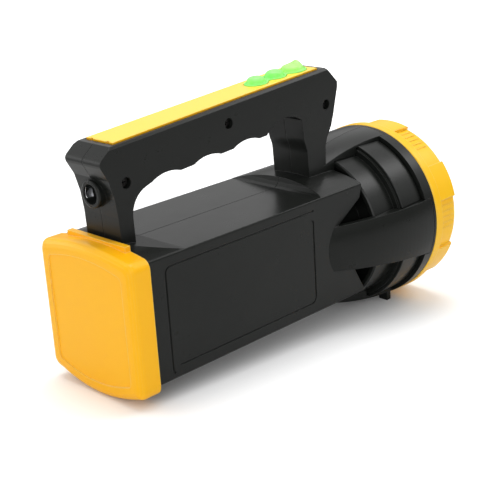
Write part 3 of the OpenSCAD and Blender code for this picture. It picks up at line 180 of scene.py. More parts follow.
# Moulded plastic and rubber: base colour, mottling, grain and soft edges, with a lighter edge colour that is
# worn edges on most finishes and a painted highlight along the edges on the orange ones
mouldedDefaults = {
    "cloudScale": 55,
    "cloudRange": (0.35, 0.68),
    "grainScale": 2600,
    "grain": 0.000012,
    "grainRough": 0.03,
    "edgeWearAndHighlightScale": 420,
    "edgeWearAndHighlight": 0.25,
    "edgeWearAndHighlightFrom": 0.4,
    "edgeWearAndHighlightTo": 0.7,
    "roughScale": 90,
    "roughSpread": 0.05,
    "roughRange": (0.3, 0.7),
    "waveScale": 34,
    "wave": 0.00006,
    "shine": 0.4,
    "coat": 0,
    "coatRough": 0.25,
    "glow": 0,  # light that passes under the surface
    "glowRadius": (0.001, 0.001, 0.001),
}


def mouldedMaterial(name, ownLook):
    look = {**mouldedDefaults, **ownLook}
    shader = Shader(name)
    inputs = shader.surface({
        "Specular IOR Level": look["shine"],
        "Coat Weight": look["coat"],
        "Coat Roughness": look["coatRough"],
        "Subsurface Weight": look["glow"],
        "Subsurface Radius": look["glowRadius"],
        "Subsurface Scale": 1,
    })
    edge = shader.softEdge(look["edge"])
    cloud = shader.noise(look["cloudScale"], detail=4, roughness=0.6)
    grain = shader.noise(look["grainScale"], detail=2, roughness=0.6)
    tone = shader.mixed(shader.span(cloud, 0, 1, *look["cloudRange"]), look["colour"], look["cloud"])
    patches = shader.span(shader.noise(look["edgeWearAndHighlightScale"]), 0, look["edgeWearAndHighlight"], look["edgeWearAndHighlightFrom"], look["edgeWearAndHighlightTo"])
    # The edge colour: wear on most finishes, a painted highlight on the orange ones, where it lies almost
    # evenly along every edge
    wornAndLitEdge = shader.math("MULTIPLY", shader.edgeWearAndHighlight(edge), patches)
    shader.link(shader.mixed(wornAndLitEdge, tone, look["wornAndLitEdge"]), inputs["Base Color"])
    low, high = look["rough"] - look["roughSpread"], look["rough"] + look["roughSpread"]
    smear = shader.noise(look["roughScale"], detail=5, roughness=0.65)
    rough = shader.span(smear, low, high, *look["roughRange"])
    fine = shader.math("MULTIPLY", grain, look["grainRough"])
    shader.link(shader.math("ADD", rough, fine), inputs["Roughness"])
    wave = shader.bump(shader.noise(look["waveScale"], detail=2), look["wave"], edge)
    shader.link(shader.bump(grain, look["grain"], wave), inputs["Normal"])
    return shader.material


# Metals: brushed along one direction, or plated
metalDefaults = {
    "edge": 0.0002,
    "scratchScale": 900,
    "scratchRange": (0.3, 0.7),
    "stretch": (1, 1, 1),
    "smoother": 0.07,
    "rougher": 0.08,
    "grain": 0.000008,
    "stainScale": 120,
    "stainRange": (0.4, 0.75),
    "metal": 1,
}


def metalMaterial(name, ownLook):
    look = {**metalDefaults, **ownLook}
    shader = Shader(name)
    inputs = shader.surface({"Metallic": look["metal"]})
    edge = shader.softEdge(look["edge"])
    scratch = shader.noise(look["scratchScale"], detail=3, roughness=0.6, stretch=look["stretch"])
    stain = shader.noise(look["stainScale"], detail=4, roughness=0.6)
    tone = shader.mixed(shader.span(stain, 0, 1, *look["stainRange"]), look["colour"], look["stain"])
    shader.link(tone, inputs["Base Color"])
    low, high = look["rough"] - look["smoother"], look["rough"] + look["rougher"]
    shader.link(shader.span(scratch, low, high, *look["scratchRange"]), inputs["Roughness"])
    shader.link(shader.bump(scratch, look["grain"], edge), inputs["Normal"])
    return shader.material


# Clear lens with a little dust
def lensMaterial(name, look):
    shader = Shader(name)
    inputs = shader.surface({
        "Base Color": (*look["colour"], 1),
        "Transmission Weight": 1,
        "IOR": look["refraction"],
    })
    dust = shader.noise(look["dustScale"], detail=5, roughness=0.7)
    shader.link(shader.span(dust, *look["rough"], *look["dustRange"]), inputs["Roughness"])
    shader.link(shader.bump(shader.noise(look["waveScale"], detail=2), look["wave"]), inputs["Normal"])
    return shader.material


# Light source: phosphor under a clear drop
def phosphorMaterial(name, look):
    shader = Shader(name)
    inputs = shader.surface({"Coat Weight": look["coat"]})
    cell = shader.add("ShaderNodeTexVoronoi", feature="F1")
    cell.inputs["Scale"].default_value = look["gridScale"]
    shader.link(shader.place, cell.inputs["Vector"])
    spots = shader.span(cell.outputs["Distance"], 0, 1, *look["gridRange"])
    shader.link(shader.mixed(spots, look["colour"], look["grid"]), inputs["Base Color"])
    shader.link(shader.span(shader.noise(look["roughScale"]), *look["rough"]), inputs["Roughness"])
    shader.link(shader.bump(cell.outputs["Distance"], look["bumps"]), inputs["Normal"])
    return shader.material


# Circuit board: green lacquer over copper tracks
def boardMaterial(name, look):
    shader = Shader(name)
    inputs = shader.surface({})
    track = shader.add("ShaderNodeTexBrick", offset=look["trackShift"])
    track.inputs["Scale"].default_value = look["trackScale"]
    track.inputs["Mortar Size"].default_value = look["trackWidth"]
    shader.link(shader.place, track.inputs["Vector"])
    shader.link(shader.mixed(track.outputs["Fac"], look["colour"], look["track"]), inputs["Base Color"])
    shader.link(shader.span(shader.noise(look["roughScale"]), *look["rough"]), inputs["Roughness"])
    edge = shader.softEdge(look["edge"])
    shader.link(shader.bump(track.outputs["Fac"], look["trackHeight"], edge), inputs["Normal"])
    return shader.material


print("lamp: materials")
plasticLooks = {
    "black_plastic": {
        "colour": (0.0078, 0.0088, 0.0077), "cloud": (0.0088, 0.0098, 0.0086), "wornAndLitEdge": (0.05, 0.052, 0.05),
        "edge": 0.0004, "rough": 0.27, "roughSpread": 0.012, "shine": 0.2, "edgeWearAndHighlight": 0.3, "wave": 0.000012,
        "grain": 0.000004,
    },
    # On this orange the edge colour is a painted highlight, lighter and laid almost evenly along every edge
    "orange_plastic": {
        "colour": (1.0, 0.5, 0.004), "cloud": (1.0, 0.492, 0.004), "wornAndLitEdge": (1.0, 0.76, 0.22),
        "edge": 0.0006, "rough": 0.29, "roughSpread": 0.008, "shine": 0.24, "edgeWearAndHighlight": 0.8, "edgeWearAndHighlightFrom": 0.1,
        "wave": 0.000004, "grain": 0.000004,
    },
    # On this orange the edge colour is a painted highlight, lighter and laid almost evenly along every edge
    "bezel_plastic": {
        "colour": (1.0, 0.565, 0.009), "cloud": (1.0, 0.557, 0.009), "wornAndLitEdge": (1.0, 0.79, 0.27),
        "edge": 0.0006, "rough": 0.29, "roughSpread": 0.008, "shine": 0.24, "edgeWearAndHighlight": 0.8, "edgeWearAndHighlightFrom": 0.1,
        "wave": 0.000004, "grain": 0.000004,
    },
    # Painted light: a lighter, yellower copy of the orange for the strip's top faces, lit as from above; the
    # strip's sides keep the plain orange
    "strip_lit_top_plastic": {
        "colour": (1.0, 0.7, 0.055), "cloud": (1.0, 0.69, 0.05), "wornAndLitEdge": (1.0, 0.76, 0.2),
        "edge": 0.0003, "rough": 0.3, "roughSpread": 0.01, "shine": 0.4, "edgeWearAndHighlight": 0.3, "wave": 0.000004,
        "grain": 0.000006,
    },
    "green_silicone": {
        "colour": (0.3, 1.0, 0.2), "cloud": (0.27, 0.97, 0.18), "wornAndLitEdge": (0.6, 1.0, 0.5),
        "edge": 0.0004, "rough": 0.36, "shine": 0.45, "wave": 0.00002, "glow": 0.35,
        "glowRadius": (0.001, 0.0024, 0.0008),
    },
    "pale_green_silicone": {
        "colour": (0.42, 1.0, 0.19), "cloud": (0.4, 0.98, 0.18), "wornAndLitEdge": (0.66, 1.0, 0.5),
        "edge": 0.0004, "rough": 0.36, "shine": 0.45, "wave": 0.00002, "glow": 0.35,
        "glowRadius": (0.0014, 0.0025, 0.0008),
    },
    "black_rubber": {
        "colour": (0.012, 0.012, 0.012), "cloud": (0.018, 0.018, 0.018), "wornAndLitEdge": (0.05, 0.05, 0.05),
        "edge": 0.0003, "rough": 0.7, "shine": 0.3,
    },
    "dark_plastic": {
        "colour": (0.03, 0.03, 0.034), "cloud": (0.04, 0.04, 0.044), "wornAndLitEdge": (0.09, 0.09, 0.09),
        "edge": 0.0002, "rough": 0.45, "shine": 0.4,
    },
    "cell_wrap": {
        "colour": (0.03, 0.13, 0.42), "cloud": (0.025, 0.11, 0.38), "wornAndLitEdge": (0.2, 0.3, 0.5),
        "edge": 0.0005, "rough": 0.25, "shine": 0.5, "coat": 0.4, "waveScale": 300,
    },
    "nylon": {
        "colour": (0.72, 0.71, 0.63), "cloud": (0.66, 0.65, 0.57), "wornAndLitEdge": (0.8, 0.8, 0.75),
        "edge": 0.00015, "rough": 0.4, "glow": 0.2, "glowRadius": (0.001, 0.001, 0.0008),
    },
    "wire": {
        "colour": (0.42, 0.03, 0.02), "cloud": (0.36, 0.025, 0.018), "wornAndLitEdge": (0.5, 0.1, 0.08),
        "edge": 0.0004, "rough": 0.38, "shine": 0.45,
    },
    "yellow_wire": {
        "colour": (0.6, 0.5, 0.05), "cloud": (0.54, 0.44, 0.04), "wornAndLitEdge": (0.7, 0.6, 0.2),
        "edge": 0.0004, "rough": 0.38, "shine": 0.45,
    },
    "green_wire": {
        "colour": (0.03, 0.25, 0.06), "cloud": (0.025, 0.2, 0.05), "wornAndLitEdge": (0.1, 0.35, 0.12),
        "edge": 0.0004, "rough": 0.38, "shine": 0.45,
    },
}
metalLooks = {
    "black_steel": {
        "colour": (0.025, 0.025, 0.026), "stain": (0.05, 0.045, 0.04), "rough": 0.42, "metal": 0.85,
    },
    "brass": {"colour": (0.75, 0.52, 0.2), "stain": (0.5, 0.33, 0.13), "rough": 0.25},
    "chrome": {
        "colour": (0.88, 0.89, 0.91), "stain": (0.84, 0.85, 0.88), "rough": 0.09, "grain": 0.000002,
    },
    "aluminium": {
        "colour": (0.72, 0.73, 0.75), "stain": (0.6, 0.61, 0.63), "rough": 0.34, "stretch": (0.05, 1, 1),
    },
    "steel": {"colour": (0.56, 0.57, 0.59), "stain": (0.4, 0.4, 0.41), "rough": 0.3, "stretch": (1, 0.05, 1)},
    "iron": {"colour": (0.2, 0.2, 0.22), "stain": (0.12, 0.11, 0.11), "rough": 0.5, "stretch": (1, 6, 1)},
    "copper": {
        "colour": (0.62, 0.26, 0.12), "stain": (0.4, 0.16, 0.07), "rough": 0.28, "stretch": (1, 8, 1),
    },
}
finishes = {name: mouldedMaterial(name, look) for name, look in plasticLooks.items()}
finishes.update({name: metalMaterial(name, look) for name, look in metalLooks.items()})
finishes["clear_lens"] = lensMaterial("clear_lens", {
    "colour": (0.97, 0.985, 0.99), "refraction": 1.46, "rough": (0.015, 0.07),
    "dustScale": 260, "dustRange": (0.35, 0.75), "waveScale": 45, "wave": 0.00003,
})
finishes["yellow_resin"] = phosphorMaterial("yellow_resin", {
    "colour": (0.85, 0.68, 0.06), "grid": (0.7, 0.5, 0.03), "gridScale": 900, "gridRange": (0.2, 0.6),
    "bumps": 0.00005, "roughScale": 500, "rough": (0.16, 0.3), "coat": 0.6,
})
finishes["board"] = boardMaterial("board", {
    "colour": (0.012, 0.1, 0.035), "track": (0.05, 0.2, 0.07), "trackShift": 0.37, "trackScale": 130,
    "trackWidth": 0.09, "trackHeight": 0.00003, "edge": 0.0002, "roughScale": 300, "rough": (0.22, 0.36),
})
# Finishes that differ from the slot's own
ownFinish = {
    "bezel_ring": "bezel_plastic",
    "switch_wires": "yellow_wire",
    "generator_wires": "green_wire",
    "charge_contact": "steel",
}
for name, node in nodes.items():
    node.data.materials.clear()
    node.data.materials.append(finishes[ownFinish.get(name, slotOf[name])])


bevelFrom = 40  # degrees between two faces from which their edge is rounded
mergeReach = 1e-6  # vertices closer than this become one


# Turns a bmesh into a finished piece that rides on a body
def finishPiece(name, mesh, body, slot, smooth=35, bevel=0, segments=2, finish=None):
    data = bpy.data.meshes.new(name)
    bmesh.ops.remove_doubles(mesh, verts=mesh.verts, dist=mergeReach)
    bmesh.ops.recalc_face_normals(mesh, faces=mesh.faces)
    mesh.to_mesh(data)
    mesh.free()
    piece = bpy.data.objects.new(name, data)
    bpy.context.scene.collection.objects.link(piece)
    data.materials.append(finishes[finish or slot])
    for face in data.polygons:
        face.use_smooth = True
    data.set_sharp_from_angle(angle=math.radians(smooth))
    if bevel:
        edge = piece.modifiers.new("edges", "BEVEL")
        edge.width, edge.segments = bevel, segments
        edge.limit_method, edge.angle_limit = "ANGLE", math.radians(bevelFrom)
    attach(piece, body)
    return piece


# A profile of radius and height, turned all the way round an axis
def turnProfile(mesh, profile, centre, axis, steps):
    axis = Vector(axis).normalized()
    side = axis.orthogonal().normalized()
    verts = [mesh.verts.new(Vector(centre) + axis * height + side * radius) for radius, height in profile]
    edges = [mesh.edges.new(pair) for pair in zip(verts, verts[1:])]
    bmesh.ops.spin(
        mesh, geom=verts + edges, cent=centre, axis=axis, angle=2 * math.pi, steps=steps, use_merge=True,
    )


# A closed outline turned part of the way round an axis, with both ends filled
def turnBar(mesh, corners, centre, axis, angle, steps):
    verts = [mesh.verts.new(corner) for corner in corners]
    edges = [mesh.edges.new(pair) for pair in zip(verts, verts[1:] + verts[:1])]
    bmesh.ops.spin(mesh, geom=verts + edges, cent=centre, axis=axis, angle=angle, steps=steps)
    bmesh.ops.holes_fill(mesh, edges=[edge for edge in mesh.edges if edge.is_boundary], sides=4)


# A box of the given size, turned round an axis through the origin after its place is set
def addBox(mesh, size, place, turn=0, axis="X"):
    box = bmesh.ops.create_cube(mesh, size=1)["verts"]
    bmesh.ops.scale(mesh, verts=box, vec=size)
    bmesh.ops.translate(mesh, verts=box, vec=place)
    bmesh.ops.rotate(mesh, verts=box, cent=(0, 0, 0), matrix=Matrix.Rotation(turn, 3, axis))


print("lamp: bezel ribs")
bezelLow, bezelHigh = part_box("bezel_ring")
lampAxis = (bezelLow.z + bezelHigh.z) / 2
bezelRibs = {
    "radius": 43.1 * mm,
    "rear": bezelLow.x + 6.3 * mm,
    "front": bezelHigh.x - 3.4 * mm,
    "proud": 0.035 * mm,
    "width": 0.9 * mm,
    "edge": 0.05 * mm,
    "sectors": 6,
    "firstPad": 34.7,  # degrees from the right side upwards
    "perSector": 7,
    "pitch": 4,  # degrees
}


def addBezelRibs(values):
    mesh = bmesh.new()
    size = (values["front"] - values["rear"], 2 * values["proud"], values["width"])
    place = ((values["rear"] + values["front"]) / 2, -values["radius"], 0)
    for sector in range(values["sectors"]):
        middle = values["firstPad"] + (sector + 0.5) * 360 / values["sectors"]
        for index in range(values["perSector"]):
            offset = (index - (values["perSector"] - 1) / 2) * values["pitch"]
            addBox(mesh, size, place, -math.radians(middle + offset))
    bmesh.ops.translate(mesh, verts=mesh.verts, vec=(0, 0, lampAxis))
    finishPiece(
        "bezelRibs", mesh, "bezel", "orange_plastic",
        bevel=values["edge"], segments=1, finish="bezel_plastic",
    )


addBezelRibs(bezelRibs)


print("lamp: reflector")
reflectorBowl = {
    "vertexGap": 1.8 * mm,
    "lip": 1.3 * mm,
    "backRadius": 8 * mm,
    "frontRadius": 36.7 * mm,
    "wall": 1.55 * mm,
    "rings": 44,
    "steps": 144,
}


def addReflector(values):
    low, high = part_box("reflector")
    vertex, end, rim = low.x + values["vertexGap"], high.x - values["lip"], (high.z - low.z) / 2
    inner, outer = values["backRadius"], values["frontRadius"]
    bowl = []
    for index in range(values["rings"] + 1):
        share = (index / values["rings"]) ** 2
        radius = math.sqrt(inner ** 2 + share * (outer ** 2 - inner ** 2))
        bowl.append((radius, vertex + share * (end - vertex)))
    profile = [(inner, low.x)] + bowl + [(outer, high.x), (rim, high.x), (rim, end)]
    profile += [(radius + values["wall"], place) for radius, place in reversed(bowl)]
    profile += [(inner + values["wall"], low.x), (inner, low.x)]
    mesh = bmesh.new()
    turnProfile(mesh, profile, (0, 0, lampAxis), (1, 0, 0), values["steps"])
    piece = finishPiece("reflectorBowl", mesh, "lamp", slotOf["reflector"], smooth=50)
    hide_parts("reflector")


addReflector(reflectorBowl)


print("lamp: strip and keys")
keypad = {
    "origin": (-91.61 * mm, 0, 120.102 * mm),  # rear top corner of the handle
    "tilt": 4.07975,  # degrees
    "stripStart": 3.2 * mm,
    "stripLength": 126.6 * mm,
    "stripWidth": 17.6 * mm,
    "stripTop": 0.7 * mm,
    "stripDepth": 1.4 * mm,
    "stripEdge": 0.2 * mm,
    "notchDepth": 0.8 * mm,
    "notchWidth": 2 * mm,
    "notchShare": 0.3,  # of the strip's width, from its middle to each notch
    "keys": (96.8 * mm, 109.3 * mm, 121.8 * mm),
    "keyRadii": (4.4 * mm, 4.4 * mm, 5.5 * mm),
    "flare": 1.55 * mm,
    "neck": 3.3 * mm,
    "webGap": 0.22 * mm,
    "webTop": 1.15 * mm,
    "webDepth": 1.8 * mm,
    "webEdge": 0.25 * mm,
    "hole": 1.115,  # of each key's radius
    "base": 1 * mm,
    "steps": 72,
}


# Sets a flat piece down on the handle's top
def onHandle(mesh):
    tilt = Matrix.Rotation(math.radians(-keypad["tilt"]), 3, "Y")
    bmesh.ops.rotate(mesh, verts=mesh.verts, cent=(0, 0, 0), matrix=tilt)
    bmesh.ops.translate(mesh, verts=mesh.verts, vec=keypad["origin"])


# Outline that follows the three keys, wider than their flares by extra
def keyOutline(values, extra, steps=96, blend=10):
    radii = [radius + values["flare"] + extra for radius in values["keyRadii"]]
    first, last = values["keys"][0] - radii[0], values["keys"][2] + radii[2]
    upper = []
    for index in range(1, steps):
        place = (first + last) / 2 - (last - first) / 2 * math.cos(math.pi * index / steps)
        squares = [radius ** 2 - (place - key) ** 2 for key, radius in zip(values["keys"], radii)]
        parts = [math.sqrt(max(square, 0)) for square in squares]
        if values["keys"][0] < place < values["keys"][2]:
            parts.append(values["neck"] + extra)
        upper.append((place, sum(part ** blend for part in parts) ** (1 / blend)))
    lower = [(place, -half) for place, half in reversed(upper)]
    return [(first, 0)] + upper + [(last, 0)] + lower


# A flat plate inside the first loop, with a hole at each further one
def addPlate(mesh, loops, top, depth):
    edges = []
    for loop in loops:
        verts = [mesh.verts.new((x, y, top)) for x, y in loop]
        edges += [mesh.edges.new(pair) for pair in zip(verts, verts[1:] + verts[:1])]
    bmesh.ops.triangle_fill(mesh, use_beauty=True, use_dissolve=False, edges=edges, normal=(0, 0, 1))
    lower = bmesh.ops.extrude_face_region(mesh, geom=list(mesh.faces))["geom"]
    lowerVerts = [part for part in lower if isinstance(part, bmesh.types.BMVert)]
    bmesh.ops.translate(mesh, verts=lowerVerts, vec=(0, 0, -depth))


def addStrip(values):
    start, half = values["stripStart"], values["stripWidth"] / 2
    end = start + values["stripLength"]
    notch, middle = start + values["notchDepth"], values["notchShare"] * values["stripWidth"]
    inner, outside = middle - values["notchWidth"] / 2, middle + values["notchWidth"] / 2
    pair = [(start, outside), (notch, outside), (notch, inner), (start, inner)]
    outer = [(end, -half), (end, half), (start, half)]
    for side in (1, -1):
        outer += pair if side > 0 else [(x, -y) for x, y in reversed(pair)]
    outer.append((start, -half))
    mesh = bmesh.new()
    addPlate(mesh, [outer, keyOutline(values, 0)], values["stripTop"], values["stripDepth"])
    onHandle(mesh)
    strip = finishPiece(
        "handleStrip", mesh, "lamp", "orange_plastic", bevel=values["stripEdge"], finish="strip_lit_top_plastic",
    )
    strip.data.materials.append(finishes["orange_plastic"])
    for face in strip.data.polygons:  # painted light: the top faces take the lighter, yellower lit copy of the orange, the sides the plain orange
        face.material_index = 0 if abs(face.normal.z) > 0.7 else 1
    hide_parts("handle_strip")


def addWeb(values):
    mesh = bmesh.new()
    turns = [2 * math.pi * index / values["steps"] for index in range(values["steps"])]
    loops = [keyOutline(values, -values["webGap"])]
    for key, radius in zip(values["keys"], values["keyRadii"]):
        reach = radius * values["hole"]
        loops.append([(key + reach * math.cos(turn), reach * math.sin(turn)) for turn in turns])
    addPlate(mesh, loops, values["webTop"], values["webDepth"])
    onHandle(mesh)
    web = finishPiece("keypadWeb", mesh, "lamp", "green_silicone", bevel=values["webEdge"], segments=3)
    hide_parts("keypad_web")


# Section of a domed key, as shares of its radius and of its height over the base
domeShares = [
    (0, 1), (0.2, 0.992), (0.4, 0.965), (0.58, 0.915), (0.73, 0.83), (0.84, 0.72), (0.92, 0.58), (0.97, 0.43),
    (1, 0.3), (1.02, 0.2), (1.05, 0.12), (1.08, 0.06), (1.1, 0), (1.1, -0.15), (1.1, -0.3), (0, -0.3),
]
keyBeak = {
    "rise": 1.7 * mm,
    "place": 0.6,  # along the handle, as a share of the key's radius, as the next three are
    "ahead": 0.26,
    "behind": 0.34,
    "across": 0.5,
    "flank": 0.8,
}


# Pulls the front of a key's dome up to a beak
def raiseBeak(mesh, values, radius, base, top):
    fine = [edge for edge in mesh.edges if all(v.co.z > base for v in edge.verts)]
    bmesh.ops.subdivide_edges(mesh, edges=fine, cuts=1, use_grid_fill=True, smooth=1)
    for vert in mesh.verts:
        along, across = vert.co.x / radius - values["place"], vert.co.y / radius
        reach = values["ahead"] if along > 0 else values["behind"]
        height = min(max((vert.co.z - base) / (top - base), 0), 1) ** values["flank"]
        spread = math.exp(-(along / reach) ** 2 - (across / values["across"]) ** 2)
        vert.co.z += values["rise"] * height * spread


def addKey(name, node, body, index, top, slot, beak=None):
    radius, base = keypad["keyRadii"][index], keypad["base"]
    section = [(share * radius, base + rise * (top - base)) for share, rise in domeShares]
    mesh = bmesh.new()
    turnProfile(mesh, section, (0, 0, 0), (0, 0, 1), keypad["steps"])
    bmesh.ops.remove_doubles(mesh, verts=mesh.verts, dist=mergeReach)
    if beak:
        raiseBeak(mesh, beak, radius, base, top)
    bmesh.ops.translate(mesh, verts=mesh.verts, vec=(keypad["keys"][index], 0, 0))
    onHandle(mesh)
    key = finishPiece(name, mesh, body, slot, smooth=70)
    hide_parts(node)


addStrip(keypad)
addWeb(keypad)
addKey("keyRear", "button_rear", "key_rear", 0, 4 * mm, "green_silicone")
addKey("keyMiddle", "button_middle", "key_middle", 1, 4 * mm, "green_silicone")
addKey("keyFront", "button_front", "key_front", 2, 3.7 * mm, "pale_green_silicone", keyBeak)


print("lamp: charging socket")
socketSpring = {
    "axisZ": 99.3 * mm,
    "rear": -95.2 * mm,
    "front": -91.4 * mm,
    "radii": (4.2 * mm, 4.42 * mm),
    "half": 34,  # degrees to each side of the lamp's left
    "steps": 16,
    "edge": 0.05 * mm,
}


def addSocketSpring(values):
    mesh = bmesh.new()
    (inner, outer), rear, front = values["radii"], values["rear"], values["front"]
    corners = [(inner, rear), (outer, rear), (outer, front), (inner, front)]
    half = math.radians(values["half"])
    corners = [Matrix.Rotation(-half, 3, "X") @ Vector((x, radius, 0)) for radius, x in corners]
    turnBar(mesh, corners, (0, 0, 0), (1, 0, 0), 2 * half, values["steps"])
    bmesh.ops.translate(mesh, verts=mesh.verts, vec=(0, 0, values["axisZ"]))
    finishPiece("socketSpring", mesh, "lamp", "chrome", bevel=values["edge"])


addSocketSpring(socketSpring)


print("lamp: crank details")
crankDetails = {
    "axis": (-46 * mm, 46.7 * mm),  # along X and Z
    "drumFace": 31 * mm,
    "arcRadii": (20.2 * mm, 21.6 * mm),
    "arcs": (30, 150),  # degrees from the lamp's side
    "arcProud": 0.25 * mm,
    "arcSunk": 0.3 * mm,
    "arcSteps": 40,
    "arcEdge": 0.12 * mm,
    "armFace": 31.3 * mm,
    "armRibs": (-53.5 * mm, -33 * mm),
    "armRibOffset": 3.4 * mm,
    "armRibWidth": 1.1 * mm,
    "armRibProud": 0.2 * mm,
    "armRibEdge": 0.1 * mm,
    "knobAxis": (-60 * mm, 46.7 * mm),
    "knobY": (17.6 * mm, 24.4 * mm),
    "knobRadius": 6.05 * mm,
    "knobRibs": 16,
    "knobRibSize": (0.7 * mm, 0.9 * mm),
    "knobRibEdge": 0.2 * mm,
}


# Two low arcs on the drum's face
def addDrumArcs(values):
    mesh = bmesh.new()
    middle = Vector((values["axis"][0], 0, values["axis"][1]))
    low, high = values["drumFace"] - values["arcSunk"], values["drumFace"] + values["arcProud"]
    (inner, outer), (first, last) = values["arcRadii"], values["arcs"]
    section = [(inner, low), (outer, low), (outer, high), (inner, high)]
    for flip in (0, 180):
        turn = Matrix.Rotation(-math.radians(first + flip), 3, "Y")
        corners = [middle + turn @ Vector((radius, depth, 0)) for radius, depth in section]
        turnBar(mesh, corners, middle, (0, -1, 0), math.radians(last - first), values["arcSteps"])
    finishPiece("drumArcs", mesh, "crank", "black_plastic", bevel=values["arcEdge"])


def addArmRibs(values):
    mesh = bmesh.new()
    rear, front = values["armRibs"]
    for side in (-1, 1):
        size = (front - rear, 2 * values["armRibProud"], values["armRibWidth"])
        height = values["axis"][1] + side * values["armRibOffset"]
        addBox(mesh, size, ((rear + front) / 2, values["armFace"], height))
    finishPiece("armRibs", mesh, "arm", "black_plastic", bevel=values["armRibEdge"])


def addKnobRibs(values):
    mesh = bmesh.new()
    (low, high), (depth, width) = values["knobY"], values["knobRibSize"]
    for index in range(values["knobRibs"]):
        turn = 2 * math.pi * index / values["knobRibs"]
        addBox(mesh, (depth, high - low, width), (values["knobRadius"], (low + high) / 2, 0), turn, "Y")
    bmesh.ops.translate(mesh, verts=mesh.verts, vec=(values["knobAxis"][0], 0, values["knobAxis"][1]))
    finishPiece("knobRibs", mesh, "knob", "black_plastic", bevel=values["knobRibEdge"])


addDrumArcs(crankDetails)
addArmRibs(crankDetails)
addKnobRibs(crankDetails)


print("lamp: floor and light")
stageLook = {
    "size": 7,
    "colour": (0.86, 0.86, 0.86),
    "rearContact": -102.1 * mm,  # along X, where the cap and the feet touch the floor
    "frontContact": 76.4 * mm,
    "clearance": 0.1 * mm,
    "lift": 0.34,  # what the camera sees added to the floor, so that it runs out to white
    "fade": (0.35, 1.1),  # distances over which the floor fades to white
    "contact": 45 * mm,  # reach of the painted contact shadow, where the floor's lift is cut back close to the lamp
    "kept": (0.12, 1, 0.15, 0.95),  # share of the lift kept, from and to, for an openness from and to; the cut is a painted contact shadow
    "worldLight": 0.42,
    "sky": (0, 0.36, 0.1, 1.1),  # from and to in height, then in brightness
}
softboxes = {  # place, aim, size, power
    "softboxTop": ((0.15, 0.25, 1.5), (0, 0, 0.05), 1.1, 14.5),
    "softboxRear": ((-1.15, -0.85, 0.65), (0, 0, 0.05), 0.9, 6.6),
    "softboxLeft": ((-0.7, 1.3, 0.5), (0, 0, 0.06), 0.8, 4),
    "softboxEdge": ((0.8, -0.41, 0.87), (0, 0, 0.08), 0.45, 3),
}


# Paper-white floor under the cap's lower edge and the two feet, with a painted contact shadow close to the
# lamp
def addFloor(values):
    rear, front = values["rearContact"], values["frontContact"]
    rearHeight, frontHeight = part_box("rear_cap")[0].z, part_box("body_right")[0].z
    slope = math.atan2(rearHeight - frontHeight, rear - front)
    mesh = bmesh.new()
    bmesh.ops.create_grid(mesh, x_segments=1, y_segments=1, size=values["size"] / 2)
    bmesh.ops.rotate(mesh, verts=mesh.verts, cent=(0, 0, 0), matrix=Matrix.Rotation(-slope, 3, "Y"))
    bmesh.ops.translate(mesh, verts=mesh.verts, vec=(front, 0, frontHeight - values["clearance"]))
    data = bpy.data.meshes.new("floor")
    mesh.to_mesh(data)
    mesh.free()
    floor = bpy.data.objects.new("floor", data)
    bpy.context.scene.collection.objects.link(floor)
    shader = Shader("floor")
    paper = shader.add("ShaderNodeBsdfDiffuse")
    paper.inputs["Color"].default_value = (*values["colour"], 1)
    glow = shader.add("ShaderNodeEmission")
    rays = shader.add("ShaderNodeLightPath")
    seen = shader.math("MAXIMUM", rays.outputs["Is Camera Ray"], rays.outputs["Is Transmission Ray"])
    away = shader.add("ShaderNodeVectorMath", operation="LENGTH")
    shader.link(shader.place, away.inputs[0])
    lift = shader.span(away.outputs["Value"], values["lift"], 1, *values["fade"])
    # Painted contact shadow: the camera's lift is cut back where the floor is shut in by the lamp
    paintedShadowAO = shader.add("ShaderNodeAmbientOcclusion", samples=8)
    paintedShadowAO.inputs["Distance"].default_value = values["contact"]
    lift = shader.math("MULTIPLY", lift, shader.span(paintedShadowAO.outputs["AO"], *values["kept"]))
    shader.link(shader.math("MULTIPLY", seen, lift), glow.inputs["Strength"])
    both = shader.add("ShaderNodeAddShader")
    shader.link(paper.outputs["BSDF"], both.inputs[0])
    shader.link(glow.outputs["Emission"], both.inputs[1])
    shader.link(both.outputs["Shader"], shader.out.inputs["Surface"])
    data.materials.append(shader.material)


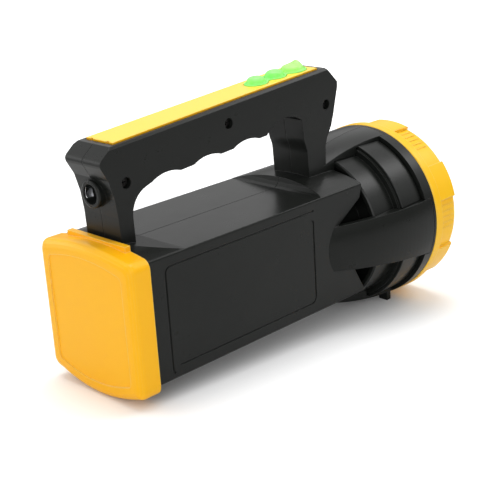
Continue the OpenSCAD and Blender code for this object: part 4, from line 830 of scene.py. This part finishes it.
# Plain light for the lamp, a sky that fades towards the horizon in its reflections, and white for the camera
def addWorld(values):
    world = bpy.data.worlds.new("studio")
    bpy.context.scene.world = world
    world.use_nodes = True
    tree = world.node_tree
    tree.nodes.clear()
    out, rays = tree.nodes.new("ShaderNodeOutputWorld"), tree.nodes.new("ShaderNodeLightPath")
    toward, height = tree.nodes.new("ShaderNodeTexCoord"), tree.nodes.new("ShaderNodeSeparateXYZ")
    tree.links.new(toward.outputs["Generated"], height.inputs[0])
    sky = tree.nodes.new("ShaderNodeMapRange")
    sky.interpolation_type = "SMOOTHSTEP"
    for key, number in zip(("From Min", "From Max", "To Min", "To Max"), values["sky"]):
        sky.inputs[key].default_value = number
    tree.links.new(height.outputs["Z"], sky.inputs["Value"])
    shades = []
    for strength in (values["worldLight"], sky.outputs["Result"], 1.0):
        shade = tree.nodes.new("ShaderNodeBackground")
        shade.inputs["Color"].default_value = (1, 1, 1, 1)
        if isinstance(strength, float):
            shade.inputs["Strength"].default_value = strength
        else:
            tree.links.new(strength, shade.inputs["Strength"])
        shades.append(shade.outputs[0])
    seen = tree.nodes.new("ShaderNodeMath")
    seen.operation = "MAXIMUM"
    tree.links.new(rays.outputs["Is Camera Ray"], seen.inputs[0])
    tree.links.new(rays.outputs["Is Transmission Ray"], seen.inputs[1])
    result = shades[0]
    for factor, shade in ((rays.outputs["Is Glossy Ray"], shades[1]), (seen.outputs[0], shades[2])):
        mix = tree.nodes.new("ShaderNodeMixShader")
        tree.links.new(factor, mix.inputs[0])
        tree.links.new(result, mix.inputs[1])
        tree.links.new(shade, mix.inputs[2])
        result = mix.outputs[0]
    tree.links.new(result, out.inputs["Surface"])


def addSoftbox(name, place, aim, size, power):
    light = bpy.data.objects.new(name, bpy.data.lights.new(name, "AREA"))
    bpy.context.scene.collection.objects.link(light)
    light.data.shape, light.data.size, light.data.energy = "SQUARE", size, power
    turn = (Vector(aim) - Vector(place)).to_track_quat("-Z", "Y").to_matrix().to_4x4()
    light.matrix_world = Matrix.Translation(place) @ turn


addFloor(stageLook)
addWorld(stageLook)
for name, look in softboxes.items():
    addSoftbox(name, *look)
bpy.context.scene.view_settings.view_transform = "Standard"
